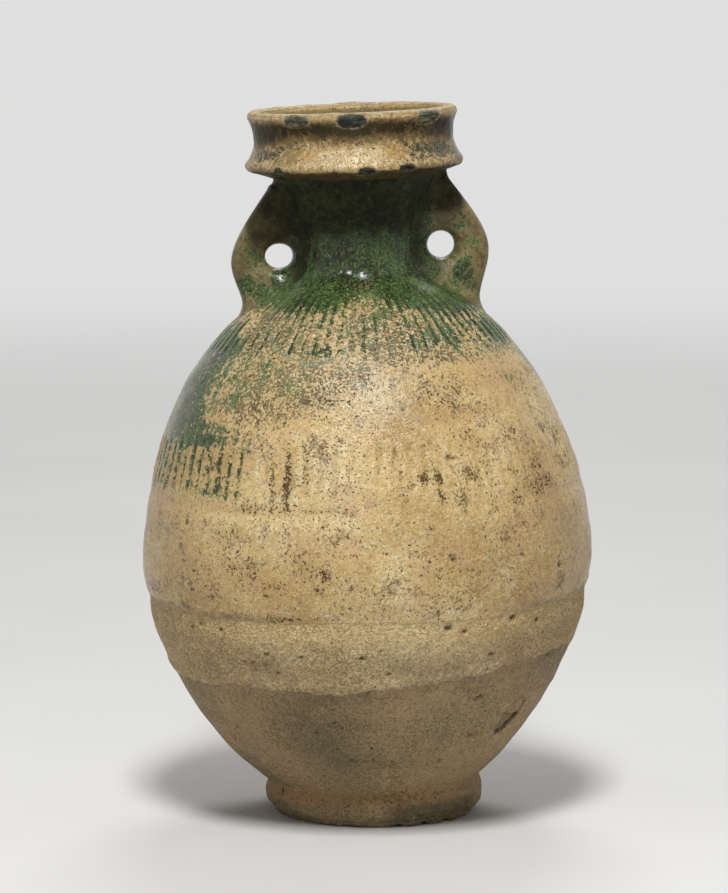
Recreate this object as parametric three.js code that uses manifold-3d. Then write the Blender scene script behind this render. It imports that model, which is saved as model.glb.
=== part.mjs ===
// Ovoid vase with two pierced ears: thrown and hand-built clay pieces, luted together with slip.
//
// The pot is described in its own frame: Z is the axis it was thrown on and the foot's joint plane is level.
// The whole pot leans a little to one side, because its foot was cut off out of square, and stands on
// the flat cut. Millimetres and degrees throughout. The front is towards -Y.

import * as THREE from "three";
import { mergeVertices } from "three/addons/utils/BufferGeometryUtils.js";
import Module from "manifold-3d";

const wasm = await Module();
wasm.setup();

// Overall
const lean = 1.4; // the pot's tilt, top towards -X
const sag = 1.2; // the soft upper half bent over by this much at the lip, to the same side
const facets = 56; // steps round each thrown piece
const lutingGap = 0.3; // the layer of slip between two pieces
const curveSteps = 240; // samples of a profile curve, from which a piece takes its own few

// Foot: a solid disc of clay
const footHeight = 13;
const footBaseRadius = 34.2;
const footSideRadius = 38.5;
const footJointRadius = 37.6;
const footBevel = 4; // the scraped edge above the table

// Body: two thrown halves, joined under the widest place
const bellyRadius = 79.45;
const bellyRise = 78; // from the foot's joint to the widest place
const seamDrop = 12.5; // from the widest place down to the seam
const shoulderRise = 96.5; // from the widest place to the neck's joint
const shoulderRadius = 29; // outside radius at the neck's joint
const ledge = 0.8; // the upper half stands this far proud of the lower one
const ledgeRun = 12; // height over which the lower half draws in to that ledge
const seamBevel = 2.5; // how far the seam falls towards the inside
const baseWall = 8;
const bellyWall = 6;
const floorThickness = 7;
const floorCornerRadius = 12;

// Neck: a waisted funnel
const neckWaistRise = 13; // from the shoulder to the narrowest place
const neckFunnelRise = 26; // from there to the dish
const neckWaistRadius = 19.9;
const neckTopRadius = 28.9;
const neckWall = 5.3;

// Mouth: a dish with a flange at its foot, a waist and a rolled lip
const flangeRadius = 38.3;
const flangeRise = 4.6; // from the neck's joint to the flange's widest place
const flangeEdge = 1.9; // the radius that rounds the flange
const dishWaistRadius = 35;
const dishWaistRise = 8.6; // from the flange to the waist
const lipRadius = 37;
const lipRise = 8.2; // from the waist to the lip's widest place
const lipRoll = 2.3; // the radius that rounds the lip
const dishWall = 5;

// Ears: slabs pinched thinner towards the rim, pierced, and luted to the neck and the shoulder
const earReach = 45.6; // from the axis to the outermost place
const earTopReach = 31; // from the axis to the outer corner under the dish
const earFootReach = 41.6; // from the axis to where the outer edge meets the shoulder
const earReachRise = 10.5; // from the shoulder's top to the outermost place
const earTopDrop = 1.8; // from the dish down to the ear's top
const earRootThickness = 13;
const earRimThickness = 8.6;
const earEdgeRound = 2.2;
const earEyeRadius = 4.9;
const earEyeReach = 28.6; // from the axis to the middle of the eye
const earEyeRise = 12.3; // from the shoulder's top to the middle of the eye
const earTurn = 6; // the pair is set round the axis by this much
const earLiftDifference = 2; // the right ear sits this much higher than the left
const earsAside = 0.9; // the pair stands this far off the neck's middle, towards +X

// Colours
const glazeColour = 0xb59a68;
const greenColour = 0x3f5a2c;
const bareColour = 0x8f7f64;

// Heights on the pot's axis, stacked up from the foot
const bellyHeight = footHeight + bellyRise;
const seamHeight = bellyHeight - seamDrop;
const shoulderHeight = bellyHeight + shoulderRise;
const neckWaistHeight = shoulderHeight + neckWaistRise;
const dishHeight = neckWaistHeight + neckFunnelRise;
const flangeHeight = dishHeight + flangeRise;
const dishWaistHeight = flangeHeight + dishWaistRise;
const lipHeight = dishWaistHeight + lipRise;

// How steeply the surface runs where two curves meet, from the horizontal
const baseSlope = THREE.MathUtils.degToRad(39);
const shoulderSlope = THREE.MathUtils.degToRad(27);
const funnelSlope = THREE.MathUtils.degToRad(63);

const point = (radius, height) => new THREE.Vector2(radius, height);

// A point at a distance from another, along a slope up and outwards or, if it is negative, down and inwards.
function along(start, slope, distance) {
  return point(start.x + distance * Math.cos(slope), start.y + distance * Math.sin(slope));
}

// The outside of the two halves: full and round, steeper at the base than at the shoulder.
function bodyOutline() {
  const base = point(footJointRadius, footHeight);
  const belly = point(bellyRadius, bellyHeight);
  const top = point(shoulderRadius, shoulderHeight);
  const lowerPull = 1.1 * (bellyRadius - footJointRadius);
  const upperPull = 0.65 * (bellyRadius - shoulderRadius);
  const path = new THREE.CurvePath();
  path.add(
    new THREE.CubicBezierCurve(
      base,
      along(base, baseSlope, lowerPull),
      point(bellyRadius, bellyHeight - 0.1 * bellyRise),
      belly,
    ),
  );
  path.add(
    new THREE.CubicBezierCurve(
      belly,
      point(bellyRadius, bellyHeight + 0.42 * shoulderRise),
      along(top, -shoulderSlope, upperPull),
      top,
    ),
  );
  return path.getPoints(curveSteps / 2);
}

// The outside of the neck: it leaves the shoulder on the shoulder's own slope and opens like a funnel.
function neckOutline() {
  const base = point(shoulderRadius, shoulderHeight);
  const waist = point(neckWaistRadius, neckWaistHeight);
  const top = point(neckTopRadius, dishHeight);
  const flare = shoulderRadius - neckWaistRadius;
  const path = new THREE.CurvePath();
  path.add(
    new THREE.CubicBezierCurve(
      base,
      point(base.x - 0.7 * flare, base.y + 0.7 * flare * Math.tan(shoulderSlope)),
      point(neckWaistRadius, neckWaistHeight - 0.5 * neckWaistRise),
      waist,
    ),
  );
  path.add(
    new THREE.CubicBezierCurve(
      waist,
      point(neckWaistRadius, neckWaistHeight + 0.35 * neckFunnelRise),
      along(top, funnelSlope, -0.45 * neckFunnelRise),
      top,
    ),
  );
  return path.getPoints(curveSteps / 2);
}

// The outside of the dish, from the neck's joint over the flange and the waist to the lip's widest place.
function dishOutline() {
  const corner = point(flangeRadius - flangeEdge, flangeHeight - flangeEdge);
  const shape = new THREE.Path();
  shape.moveTo(neckTopRadius, dishHeight);
  shape.lineTo(corner.x, corner.y);
  shape.absarc(corner.x, flangeHeight, flangeEdge, -Math.PI / 2, Math.PI / 5, false);
  shape.bezierCurveTo(
    dishWaistRadius + 0.3 * flangeEdge,
    flangeHeight + 0.5 * dishWaistRise,
    dishWaistRadius,
    dishWaistHeight - 0.25 * dishWaistRise,
    dishWaistRadius,
    dishWaistHeight,
  );
  shape.quadraticCurveTo(dishWaistRadius, lipHeight - 0.4 * lipRise, lipRadius, lipHeight);
  return shape.getPoints(3);
}

// The unit normal of a polyline at one of its points, to the right of its direction of travel.
function outwardNormal(line, index) {
  const before = line[Math.max(index - 1, 0)];
  const after = line[Math.min(index + 1, line.length - 1)];
  return point(after.y - before.y, before.x - after.x).normalize();
}

// A polyline moved sideways: outwards if the distance is positive, inwards if it is negative.
// The distance may change with height.
function offset(line, distanceAt) {
  return line.map((p, i) => p.clone().addScaledVector(outwardNormal(line, i), distanceAt(p.y)));
}

// The point where a polyline that climbs passes a height.
function atHeight(line, height) {
  const after = line.findIndex((p) => p.y >= height);
  if (after < 0) return line[line.length - 1].clone();
  if (after === 0) return line[0].clone();
  const a = line[after - 1];
  const b = line[after];
  return a.clone().lerp(b, (height - a.y) / (b.y - a.y));
}

// The height of the shoulder's surface at a distance from the axis.
function shoulderHeightAt(radius) {
  const inner = bodyOutside.findIndex((p) => p.y > bellyHeight && p.x <= radius);
  const a = bodyOutside[inner - 1];
  const b = bodyOutside[inner];
  return THREE.MathUtils.mapLinear(radius, a.x, b.x, a.y, b.y);
}

// The stretch of a climbing polyline between two heights, in equal steps of its length.
function stretch(line, low, high, steps) {
  const kept = [
    atHeight(line, low),
    ...line.filter((p) => p.y > low + 1e-6 && p.y < high - 1e-6),
    atHeight(line, high),
  ];
  const lengths = [0];
  for (let i = 1; i < kept.length; i++) lengths.push(lengths[i - 1] + kept[i].distanceTo(kept[i - 1]));
  const total = lengths[lengths.length - 1];
  return Array.from({ length: steps + 1 }, (_, k) => {
    const wanted = (total * k) / steps;
    const i = Math.max(1, lengths.findIndex((l) => l >= wanted - 1e-9));
    return kept[i - 1].clone().lerp(kept[i], (wanted - lengths[i - 1]) / (lengths[i] - lengths[i - 1]));
  });
}

// A closed profile turned round the pot's axis. It runs up the outside and comes back down the inside.
function thrown(profile) {
  const geometry = new THREE.LatheGeometry(profile, facets);
  geometry.rotateX(Math.PI / 2);
  return geometry;
}

function ring(outside, inside) {
  return [...outside, ...inside.slice().reverse(), outside[0].clone()];
}

// Geometry to a solid for cutting, and back.
function solidOf(geometry) {
  const bare = geometry.clone();
  bare.deleteAttribute("normal");
  bare.deleteAttribute("uv");
  const merged = mergeVertices(bare, 1e-4);
  return new wasm.Manifold(
    new wasm.Mesh({
      numProp: 3,
      vertProperties: merged.attributes.position.array,
      triVerts: new Uint32Array(merged.index.array),
    }),
  );
}

function geometryOf(solid) {
  const mesh = solid.getMesh();
  const geometry = new THREE.BufferGeometry();
  geometry.setAttribute("position", new THREE.BufferAttribute(new Float32Array(mesh.vertProperties), 3));
  geometry.setIndex(Array.from(mesh.triVerts));
  geometry.computeVertexNormals();
  return geometry;
}

function clay(name, geometry, color, roughness) {
  const material = new THREE.MeshStandardMaterial({ color, roughness, metalness: 0 });
  const mesh = new THREE.Mesh(geometry, material);
  mesh.name = name;
  return mesh;
}

const leanAngle = THREE.MathUtils.degToRad(lean);
const sagFrom = seamHeight - seamBevel;

// Bends a piece over to one side: nothing at the seam, more and more towards the lip.
// Every piece above the seam follows the same bend, so that the joints between them stay closed.
function sagged(geometry) {
  const position = geometry.attributes.position;
  const run = lipHeight - sagFrom;
  for (let i = 0; i < position.count; i++) {
    const share = Math.max(0, position.getZ(i) - sagFrom) / run;
    const slope = (2 * sag * share) / run;
    position.setZ(i, position.getZ(i) + position.getX(i) * slope);
    position.setX(i, position.getX(i) - sag * share * share);
  }
  geometry.computeVertexNormals();
  return geometry;
}

const bodyOutside = bodyOutline();
const neckOutside = neckOutline();
const dishOutside = dishOutline();

// The wall is thickest at the base and thins evenly up to the seam.
function bodyWallAt(height) {
  const share = (height - footHeight) / (seamHeight - footHeight);
  return -THREE.MathUtils.lerp(baseWall, bellyWall, THREE.MathUtils.clamp(share, 0, 1));
}

const bodyInside = offset(bodyOutside, bodyWallAt);

// The foot is thrown too tall and its underside is then cut level with the table, out of square with the axis.
function makeFoot() {
  const spare = 2 + footBaseRadius * Math.tan(leanAngle);
  const profile = [
    point(0, -spare),
    point(footBaseRadius, -spare),
    point(footBaseRadius, 0),
    point(THREE.MathUtils.lerp(footBaseRadius, footSideRadius, 0.6), 0.5 * footBevel),
    point(THREE.MathUtils.lerp(footBaseRadius, footSideRadius, 0.85), footBevel),
    point(footSideRadius, THREE.MathUtils.lerp(footBevel, footHeight, 0.6)),
    point(THREE.MathUtils.lerp(footSideRadius, footJointRadius, 0.3), THREE.MathUtils.lerp(footBevel, footHeight, 0.9)),
    point(footJointRadius, footHeight - lutingGap),
    point(0, footHeight - lutingGap),
  ];
  const table = new THREE.BoxGeometry(4 * footSideRadius, 4 * footSideRadius, 4 * spare);
  table.translate(0, 0, -2 * spare);
  table.rotateY(leanAngle);
  return geometryOf(solidOf(thrown(profile)).subtract(solidOf(table)));
}

// The lower half is a bowl with a thick floor. Near the seam it draws in, which leaves the ledge above it.
function makeLowerBody() {
  const steps = 11;
  const rim = seamHeight;
  const outside = stretch(bodyOutside, footHeight, rim, steps);
  for (const p of outside) {
    p.x -= ledge * THREE.MathUtils.smoothstep(p.y, rim - ledgeRun, rim);
  }
  outside.at(-1).y -= (ledge * seamBevel) / bellyWall;
  const floorTop = footHeight + floorThickness;
  const wallFoot = floorTop + floorCornerRadius * (1 - Math.SQRT1_2);
  const inside = stretch(bodyInside, wallFoot, rim - seamBevel, steps - 2);
  const corner = point(inside[0].x - floorCornerRadius * Math.SQRT1_2, floorTop);
  return thrown([
    point(0, footHeight),
    ...outside,
    ...inside.reverse(),
    corner,
    point(0, floorTop),
  ]);
}

// The upper half closes in over the belly to the shoulder, where the neck drops into a cone-shaped seat.
function makeUpperBody() {
  const low = seamHeight + lutingGap;
  const outside = stretch(bodyOutside, low, shoulderHeight, 15);
  const insideTop = bodyInside[bodyInside.length - 1].y;
  const inside = stretch(bodyInside, low - seamBevel, insideTop, 11);
  return thrown(ring(outside, inside));
}

// The neck's lower end is a plug that fits the shoulder's seat, and its upper end carries the dish.
function makeNeck() {
  const outside = stretch(neckOutside, shoulderHeight, dishHeight, 12);
  const inside = stretch(
    offset(neckOutside, () => -neckWall),
    shoulderHeight - neckWall,
    dishHeight + neckWall,
    10,
  );
  const seat = outwardNormal(bodyOutside, bodyOutside.length - 1);
  const lift = lutingGap / Math.max(seat.x, seat.y);
  const shoulderInside = bodyInside[bodyInside.length - 1];
  const plug = point(shoulderInside.x, shoulderInside.y + lift);
  const raised = outside[0].clone();
  raised.y += lift;
  return thrown(ring([raised, ...outside.slice(1)], [plug, ...inside.slice(1)]));
}

// The dish sits on the neck's slanted rim. Its floor runs up into a plain inner wall.
function makeDish() {
  const rim = offset(neckOutside, () => -neckWall).at(-1);
  const lipCentre = point(lipRadius - lipRoll, lipHeight);
  const wallRadius = lipRadius - dishWall;
  const path = new THREE.Path();
  path.moveTo(rim.x, rim.y + lutingGap);
  path.quadraticCurveTo(wallRadius - 0.4 * dishWall, flangeHeight, wallRadius - 0.2 * dishWall, dishWaistHeight);
  path.lineTo(wallRadius, lipHeight - lipRoll);
  const inside = path.getPoints(4);
  const roll = new THREE.Path();
  roll.absarc(lipCentre.x, lipCentre.y, lipRoll, 0, Math.PI, false);
  const outside = dishOutside.map((p) => p.clone());
  outside[0].y += lutingGap;
  return thrown(ring([...outside, ...roll.getPoints(4).slice(1)], inside));
}

// Everything an ear is luted to, grown by the layer of slip: it shapes the ear's root.
function makeRootCutter() {
  const low = bellyHeight + 0.5 * shoulderRise;
  const neighbours = [
    ...stretch(bodyOutside, low, shoulderHeight, 14),
    ...stretch(neckOutside, shoulderHeight, dishHeight, 14).slice(1),
    ...dishOutside.slice(1),
  ];
  const grown = offset(neighbours, () => lutingGap);
  return solidOf(thrown([point(0, grown[0].y), ...grown, point(0, grown.at(-1).y)]));
}

const rootCutter = makeRootCutter();

// One ear, at an angle round the axis and lifted by a small amount. The slab's outline lies in the plane
// through the axis; it is pierced, its edges are rounded, and it is pinched thinner towards the rim.
function makeEar(turn, lift) {
  const base = shoulderHeight + lift;
  const rootReach = 0.5 * neckWaistRadius;
  const top = point(earTopReach, Math.min(dishHeight - earTopDrop + lift, dishHeight - lutingGap));
  const widest = point(earReach, base + earReachRise);
  const foot = point(earFootReach, shoulderHeightAt(earFootReach));
  const outline = new THREE.Shape();
  outline.moveTo(rootReach, top.y);
  outline.lineTo(top.x, top.y);
  outline.bezierCurveTo(
    THREE.MathUtils.lerp(top.x, widest.x, 0.45),
    THREE.MathUtils.lerp(top.y, widest.y, 0.35),
    widest.x,
    THREE.MathUtils.lerp(top.y, widest.y, 0.7),
    widest.x,
    widest.y,
  );
  outline.bezierCurveTo(
    widest.x,
    THREE.MathUtils.lerp(widest.y, foot.y, 0.35),
    foot.x,
    THREE.MathUtils.lerp(widest.y, foot.y, 0.6),
    foot.x,
    foot.y,
  );
  outline.lineTo(foot.x, foot.y - earRootThickness);
  outline.lineTo(rootReach, foot.y - earRootThickness);
  outline.closePath();
  const eye = new THREE.Path();
  eye.absarc(earEyeReach, base + earEyeRise, earEyeRadius, 0, 2 * Math.PI, false);
  outline.holes.push(eye);

  const slab = new THREE.ExtrudeGeometry(outline, {
    depth: earRootThickness - 2 * earEdgeRound,
    curveSegments: 8,
    bevelThickness: earEdgeRound,
    bevelSize: earEdgeRound,
    bevelOffset: -earEdgeRound,
    bevelSegments: 3,
  });
  slab.rotateX(Math.PI / 2);
  slab.translate(0, 0.5 * earRootThickness - earEdgeRound, 0);
  const position = slab.attributes.position;
  for (let i = 0; i < position.count; i++) {
    const share = THREE.MathUtils.smoothstep(position.getX(i), neckWaistRadius, earReach);
    position.setY(i, position.getY(i) * THREE.MathUtils.lerp(1, earRimThickness / earRootThickness, share));
  }
  slab.rotateZ(THREE.MathUtils.degToRad(turn));
  slab.translate(earsAside, 0, 0);
  return geometryOf(solidOf(slab).subtract(rootCutter));
}

const pot = new THREE.Group();
pot.rotation.y = -leanAngle;
pot.add(
  clay("foot", makeFoot(), bareColour, 0.9),
  clay("lower_body", makeLowerBody(), bareColour, 0.85),
  clay("upper_body", sagged(makeUpperBody()), glazeColour, 0.45),
  clay("neck", sagged(makeNeck()), greenColour, 0.35),
  clay("mouth_dish", sagged(makeDish()), glazeColour, 0.4),
  clay("right_ear", sagged(makeEar(earTurn, 0.5 * earLiftDifference)), greenColour, 0.35),
  clay("left_ear", sagged(makeEar(180 + earTurn, -0.5 * earLiftDifference)), greenColour, 0.35),
);

const vase = new THREE.Group();
vase.add(pot);

export default vase;
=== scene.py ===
"""A two-eared stoneware vase: five thrown pieces, two pierced ears, slip, straw glaze and green splashes.

The pot is made in its own frame, in millimetres: Z is the axis it was thrown on, and an angle of
-90 degrees is the front. The last step on every piece lets it sag and lean as the fired pot does.
"""

import math

import bpy
import numpy as np
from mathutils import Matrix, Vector


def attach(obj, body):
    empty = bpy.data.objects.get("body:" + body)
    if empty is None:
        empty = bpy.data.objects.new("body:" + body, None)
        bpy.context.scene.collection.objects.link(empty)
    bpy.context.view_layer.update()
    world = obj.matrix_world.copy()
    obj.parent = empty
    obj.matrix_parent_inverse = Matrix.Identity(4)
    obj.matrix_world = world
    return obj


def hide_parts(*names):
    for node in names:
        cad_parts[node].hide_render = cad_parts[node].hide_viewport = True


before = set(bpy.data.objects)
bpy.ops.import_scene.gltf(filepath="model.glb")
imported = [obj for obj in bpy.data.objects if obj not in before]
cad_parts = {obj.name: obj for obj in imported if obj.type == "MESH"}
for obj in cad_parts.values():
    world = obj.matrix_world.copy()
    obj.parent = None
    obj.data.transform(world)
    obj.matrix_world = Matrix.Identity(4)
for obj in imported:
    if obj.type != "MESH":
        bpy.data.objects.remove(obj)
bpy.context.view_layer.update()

MM = 0.001

# The pot's sizes, in millimetres and degrees, as in the CAD source
LEAN = math.radians(1.4)
SAG = 1.2
LUTING_GAP = 0.3
FOOT_HEIGHT = 13
FOOT_BASE_RADIUS = 34.2
FOOT_SIDE_RADIUS = 38.5
FOOT_JOINT_RADIUS = 37.6
FOOT_BEVEL = 4
BELLY_RADIUS = 79.45
BELLY_RISE = 78
SEAM_DROP = 12.5
SHOULDER_RISE = 96.5
SHOULDER_RADIUS = 29
LEDGE = 0.8
SEAM_BEVEL = 2.5
BASE_WALL = 8
BELLY_WALL = 6
FLOOR_THICKNESS = 7
FLOOR_CORNER = 12
NECK_WAIST_RISE = 13
NECK_FUNNEL_RISE = 26
NECK_WAIST_RADIUS = 19.9
NECK_TOP_RADIUS = 28.9
NECK_WALL = 5.3
FLANGE_RADIUS = 38.3
FLANGE_RISE = 4.6
FLANGE_EDGE = 1.9
DISH_WAIST_RADIUS = 35
DISH_WAIST_RISE = 8.6
LIP_RADIUS = 37
LIP_RISE = 8.2
LIP_ROLL = 2.3
DISH_WALL = 5
EAR_REACH = 45.6
EAR_TOP_REACH = 31
EAR_FOOT_REACH = 41.6
EAR_REACH_RISE = 10.5
EAR_TOP_DROP = 1.8
EAR_ROOT_THICKNESS = 13
EAR_RIM_THICKNESS = 8.6
EAR_EYE_RADIUS = 4.9
EAR_EYE_REACH = 28.6
EAR_EYE_RISE = 12.3
EAR_TURN = 6
EAR_LIFT_DIFFERENCE = 2
EARS_ASIDE = 0.9

BELLY_HEIGHT = FOOT_HEIGHT + BELLY_RISE
SEAM_HEIGHT = BELLY_HEIGHT - SEAM_DROP
SHOULDER_HEIGHT = BELLY_HEIGHT + SHOULDER_RISE
NECK_WAIST_HEIGHT = SHOULDER_HEIGHT + NECK_WAIST_RISE
DISH_HEIGHT = NECK_WAIST_HEIGHT + NECK_FUNNEL_RISE
FLANGE_HEIGHT = DISH_HEIGHT + FLANGE_RISE
DISH_WAIST_HEIGHT = FLANGE_HEIGHT + DISH_WAIST_RISE
LIP_HEIGHT = DISH_WAIST_HEIGHT + LIP_RISE
SAG_FROM = SEAM_HEIGHT - SEAM_BEVEL

# The hand's and the years' share, which the CAD source leaves out
FRONT = -90.0
SEAM_REACH = 22  # how far from the seam the walls follow its wandering line
SLIP_THICKNESS = 0.42
SAND = [(0.6, 1.5), (0.5, 2.6), (0.4, 5.5)]  # shares and sizes of the grains
EAR_GRID_STEP = 0.42
EAR_ROUNDING = 3.4
EAR_FILLET = 5.0
EAR_HOLLOW = 1.3
EAR_HOLLOW_REACH = 9.5
MIDDLE_RADIUS = 65  # a middling radius, for noises that run round the pot
STREAK_SHORTENING = 0.14

# The stage: the photo's camera, in metres, degrees and pixels
CAMERA_PLACE = (-0.0032, -1.7, 0.335)
CAMERA_DROP = 6.868
LENS_PIXELS = 4836.2
PICTURE_HEIGHT = 893
SENSOR = 36
FLOOR_REACH = 12.0
FLOOR_FADE = (0.5, 2.2)
WORLD_LIGHT = 0.17
WORLD_SEEN = 0.78

# Marks on the glaze and the clay: each is its middle's angle and height, half its width and half its height,
# then its strength (1 if left out) and its tilt in degrees (0 if left out).
# Green splashes on the shoulder and the belly
SPLASHES = [
    (-164, 158, 19, 20, 1.05), (-152, 166, 7, 9, 0.85), (-158, 148, 17, 8, 0.95), (-151, 144.5, 16, 3.4, 0.7),
    (-138, 144, 9, 2.2, 0.48), (-147, 139.4, 17, 2.2, 0.62), (-135, 153.5, 6, 5.5, 0.58),
    (-130.5, 157, 3.4, 7, 0.54), (-145, 160, 3.4, 10, 0.68), (-138, 162, 4, 8, 0.58), (-125, 163, 9, 6, 0.45),
    (-50, 171, 3.4, 6, 0.24), (-38, 166, 8, 3, 0.24), (-60, 170.5, 9, 4, 0.2),
    (-118, 169.4, 2.2, 0.9, 0.5, -30), (-111, 166.4, 2.6, 1, 0.52), (-104, 167.6, 3.4, 0.8, 0.5, 15),
    (-97.5, 170, 3, 0.8, 0.46, 15), (-33, 157, 4, 4, 0.42), (-112, 159, 7, 6, 0.4), (-97, 157.5, 6, 3, 0.42),
    (-92, 158.5, 4, 2, 0.45), (-93, 164.5, 8, 2, 0.4), (-103, 169, 8, 2.4, 0.36), (-16, 171, 8, 7, 0.5),
    (-2, 160, 8, 12, 0.75), (62, 168, 16, 14, 0.9), (75, 152, 10, 12, 0.8, 20), (128, 172, 12, 9, 0.75),
    (20, 150, 7, 12, 0.65),
]
# Brown iron stains on the belly, single comb strokes that took up iron, and speckled areas
STAINS = [
    (-100.5, 95.5, 2.6, 2.6, 0.9, -40), (-104, 97, 5, 4, 0.5), (-102, 90.5, 2.5, 2, 0.62),
    (-107.6, 101.5, 3.5, 2.4, 0.6), (-97, 102, 5, 2.5, 0.5, 20), (-126, 97.5, 3, 4, 0.55),
    (-121, 96, 9, 7, 0.4), (-114, 91.5, 5, 3, 0.5), (-115, 127, 1.3, 9, 0.74, 2), (-110.8, 127.5, 1.5, 11),
    (-111, 138, 2, 1.6, 0.6), (-105.5, 128, 1.3, 7, 0.6, 4), (-106, 136, 1.8, 2.4, 0.66),
    (-100.6, 138, 1.5, 2.6, 0.6), (-74, 127.3, 2.2, 2.6, 1, -25), (-69.8, 127, 1.5, 3.2),
    (-70, 121.2, 1.5, 3, 0.9), (-80, 124, 1.6, 8, 0.52), (-64, 119.5, 2.6, 5, 0.56), (-60, 128, 5, 4, 0.56),
    (-41.5, 140.2, 1.6, 1.5), (-47, 127, 3, 2.4, 0.72), (-47, 118, 3.5, 4, 0.6), (-37, 121.5, 9, 4, 0.62),
    (-37, 129, 4, 7, 0.52), (-59, 140, 5, 4, 0.5), (-55.5, 130, 2, 3, 0.6), (-160, 84, 12, 2.5, 0.5),
    (-137, 88, 9, 5, 0.4), (-128, 108, 7, 4, 0.42), (-72, 96, 8, 5, 0.4, 20), (-118, 117.6, 13, 1.3, 0.55),
    (-104, 117.2, 12, 1.2, 0.5), (-113, 79.8, 9, 1.3, 0.72), (-143.5, 81.3, 3, 1.8, 0.72),
    (-126, 80, 12, 1.1, 0.5), (-96, 156, 12, 8, 0.4), (-70, 152, 12, 5, 0.36), (40, 110, 9, 6, 0.6),
    (88, 121, 2, 10, 0.8), (94, 123, 2, 9, 0.7), (140, 98, 8, 5, 0.55), (20, 88, 12, 6, 0.45),
    (110, 84, 14, 3, 0.6), (165, 104, 8, 8, 0.45),
]
# Soft brown bands that run round the belly, where the glaze lies thicker over a turned ring; the band at
# 147.5 mm right of the front is painted shade in the hollow ring there
TAN_BANDS = [
    (-62, 147.5, 26, 3, 0.85, 1.5), (-46, 160, 20, 9, 0.55, 8), (-138, 100, 20, 12, 0.5),
    (-40, 143, 12, 3, 0.5, 2), (-122, 117, 24, 2, 0.7, -1), (-152, 113, 14, 6, 0.6),
    (-104, 117.5, 14, 1.6, 0.5), (-58, 95, 12, 6, 0.5, 20), (-72, 104, 10, 4, 0.4), (-125, 93, 20, 7, 0.45),
    (-34, 128, 14, 16, 0.85), (-28, 160, 14, 9, 0.8), (30, 118, 30, 3, 0.6), (120, 146, 34, 4, 0.6),
    (165, 96, 26, 8, 0.5), (80, 92, 20, 7, 0.5),
]
# Whitish bloom on the shoulder, with a painted highlight on its front, and one bluish spot on the belly
BLOOM = [
    (-90, 178, 8, 9, 0.9), (-86, 156, 15, 12, 0.9), (-104, 160, 10, 7, 0.6), (-66, 163, 8, 5, 0.5),
    (-53, 93, 6, 5, 0.5), (-118, 131, 5, 8, 0.5), (-103, 130, 7, 9, 0.5), (-152, 108, 9, 9, 0.5),
    (70, 120, 12, 8, 0.5), (120, 150, 12, 9, 0.6),
]
# Olive-grey dirt, apart from what lies over the upper comb strokes
GRIME = [
    (-125, 158, 22, 17, 1, 15), (-106, 160, 14, 11), (-93, 162, 9, 8, 0.9), (-146, 150, 12, 12, 0.8),
    (-128, 141, 12, 5, 0.6), (-64, 158, 9, 6, 0.6), (-72, 166, 10, 5, 0.6), (-45, 168, 8, 6, 0.5),
    (-139, 92, 12, 7, 0.5), (-150, 112, 8, 7, 0.4), (-20, 140, 12, 9, 0.5), (50, 155, 16, 10, 0.7),
    (110, 160, 18, 10, 0.6), (160, 152, 16, 12, 0.6), (30, 128, 12, 8, 0.5),
]
# The dish: crowds of dark specks, ochre patches and brown stains
DISH_SPECKS = [
    (-152, 235.8, 4.5, 2.6, 1.1), (-141, 236, 4, 2.2, 1.1), (-47, 236, 7.5, 3.6), (-32, 235.5, 7, 3.6),
    (-14, 234, 8, 3.5, 0.9), (40, 235, 9, 4, 0.8), (118, 234.5, 8, 4, 0.8), (160, 235.5, 7, 3.5, 0.7),
]
DISH_OCHRE = [
    (-66.5, 236, 4.6, 2.9), (-76, 234.5, 6, 2.6, 0.6), (-120, 236, 7, 3, 0.7), (-130, 234, 6, 3, 0.7),
    (20, 235, 9, 4, 0.7), (90, 235, 12, 4, 0.8), (150, 234, 9, 3, 0.7),
]
DISH_STAINS = [
    (-134.5, 238.1, 1.5, 0.7, 1, -20), (-124.3, 240.2, 0.6, 0.6), (-122.7, 238.1, 0.8, 0.4),
    (-74, 241, 0.8, 0.6), (-61.3, 240.2, 1.1, 0.6, 1, 20), (-58.6, 238.6, 1, 0.8, 1, -35),
    (-78.5, 237.6, 0.5, 0.4), (-98.5, 239, 0.4, 0.4), (33, 238, 1.4, 0.7, 1, 15), (97, 240, 1.2, 0.6),
    (151, 237, 1, 0.7),
]
# Soot on the bare clay of the lower body
CLAY_SOOT = [(-112, 36, 22, 18), (-100, 27, 14, 8), (60, 45, 20, 14), (150, 30, 18, 10)]

# The pale run's path over the shoulder: angle, height and half its width
PALE_RUN = [
    (-133, 175.5, 0.5), (-127, 171.5, 0.9), (-120, 168.6, 0.8), (-110, 165, 1.7), (-103, 166.4, 0.8),
    (-96, 169, 0.5),
]

# Nicks in the foot, and chips in the lip and the flange: middle, half width, half height, tilt, how deep they
# bite, and how dark a chip's broken clay is, partly painted shade.
FOOT_NICKS = [
    (-148, 11.2, 1, 2.6, 12, 0.7), (-135, 9.6, 0.6, 0.6, 0, 0.5), (-118, 8.7, 0.9, 0.5, 20, 0.5),
    (-103.6, 8.4, 0.9, 0.9, 0, 0.6), (-127, 1.5, 6, 1.6, 0, 0.8), (-40, 3.5, 3, 1.5, 0, 0.5),
    (30, 5, 2.2, 2, 0, 0.6), (95, 2.5, 5, 1.6, 0, 0.8), (150, 7, 1.2, 2, 0, 0.5),
]
LIP_CHIPS = [
    (-122.3, 247.9, 4.9, 2.4, 0, 0.55, 0.45), (-90.3, 247.7, 5, 2.8, 0, 0.75, 1),
    (-43, 247.8, 5.6, 2.9, 4, 0.5, 0.4), (64, 247.5, 4, 2.4, 0, 0.8, 0.7),
]
FLANGE_CHIPS = [
    (-134, 229.8, 2.3, 2, 0, 1, 0.8), (-83.3, 229.4, 3, 2.4, 0, 1.4, 0.95),
    (-60.6, 229.9, 3.1, 2.4, 0, 1.3, 1), (105, 230.2, 2.8, 1.5, 0, 1, 0.8),
]
CHIP_SQUARENESS = 2.6  # 2 would be an oval

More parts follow.
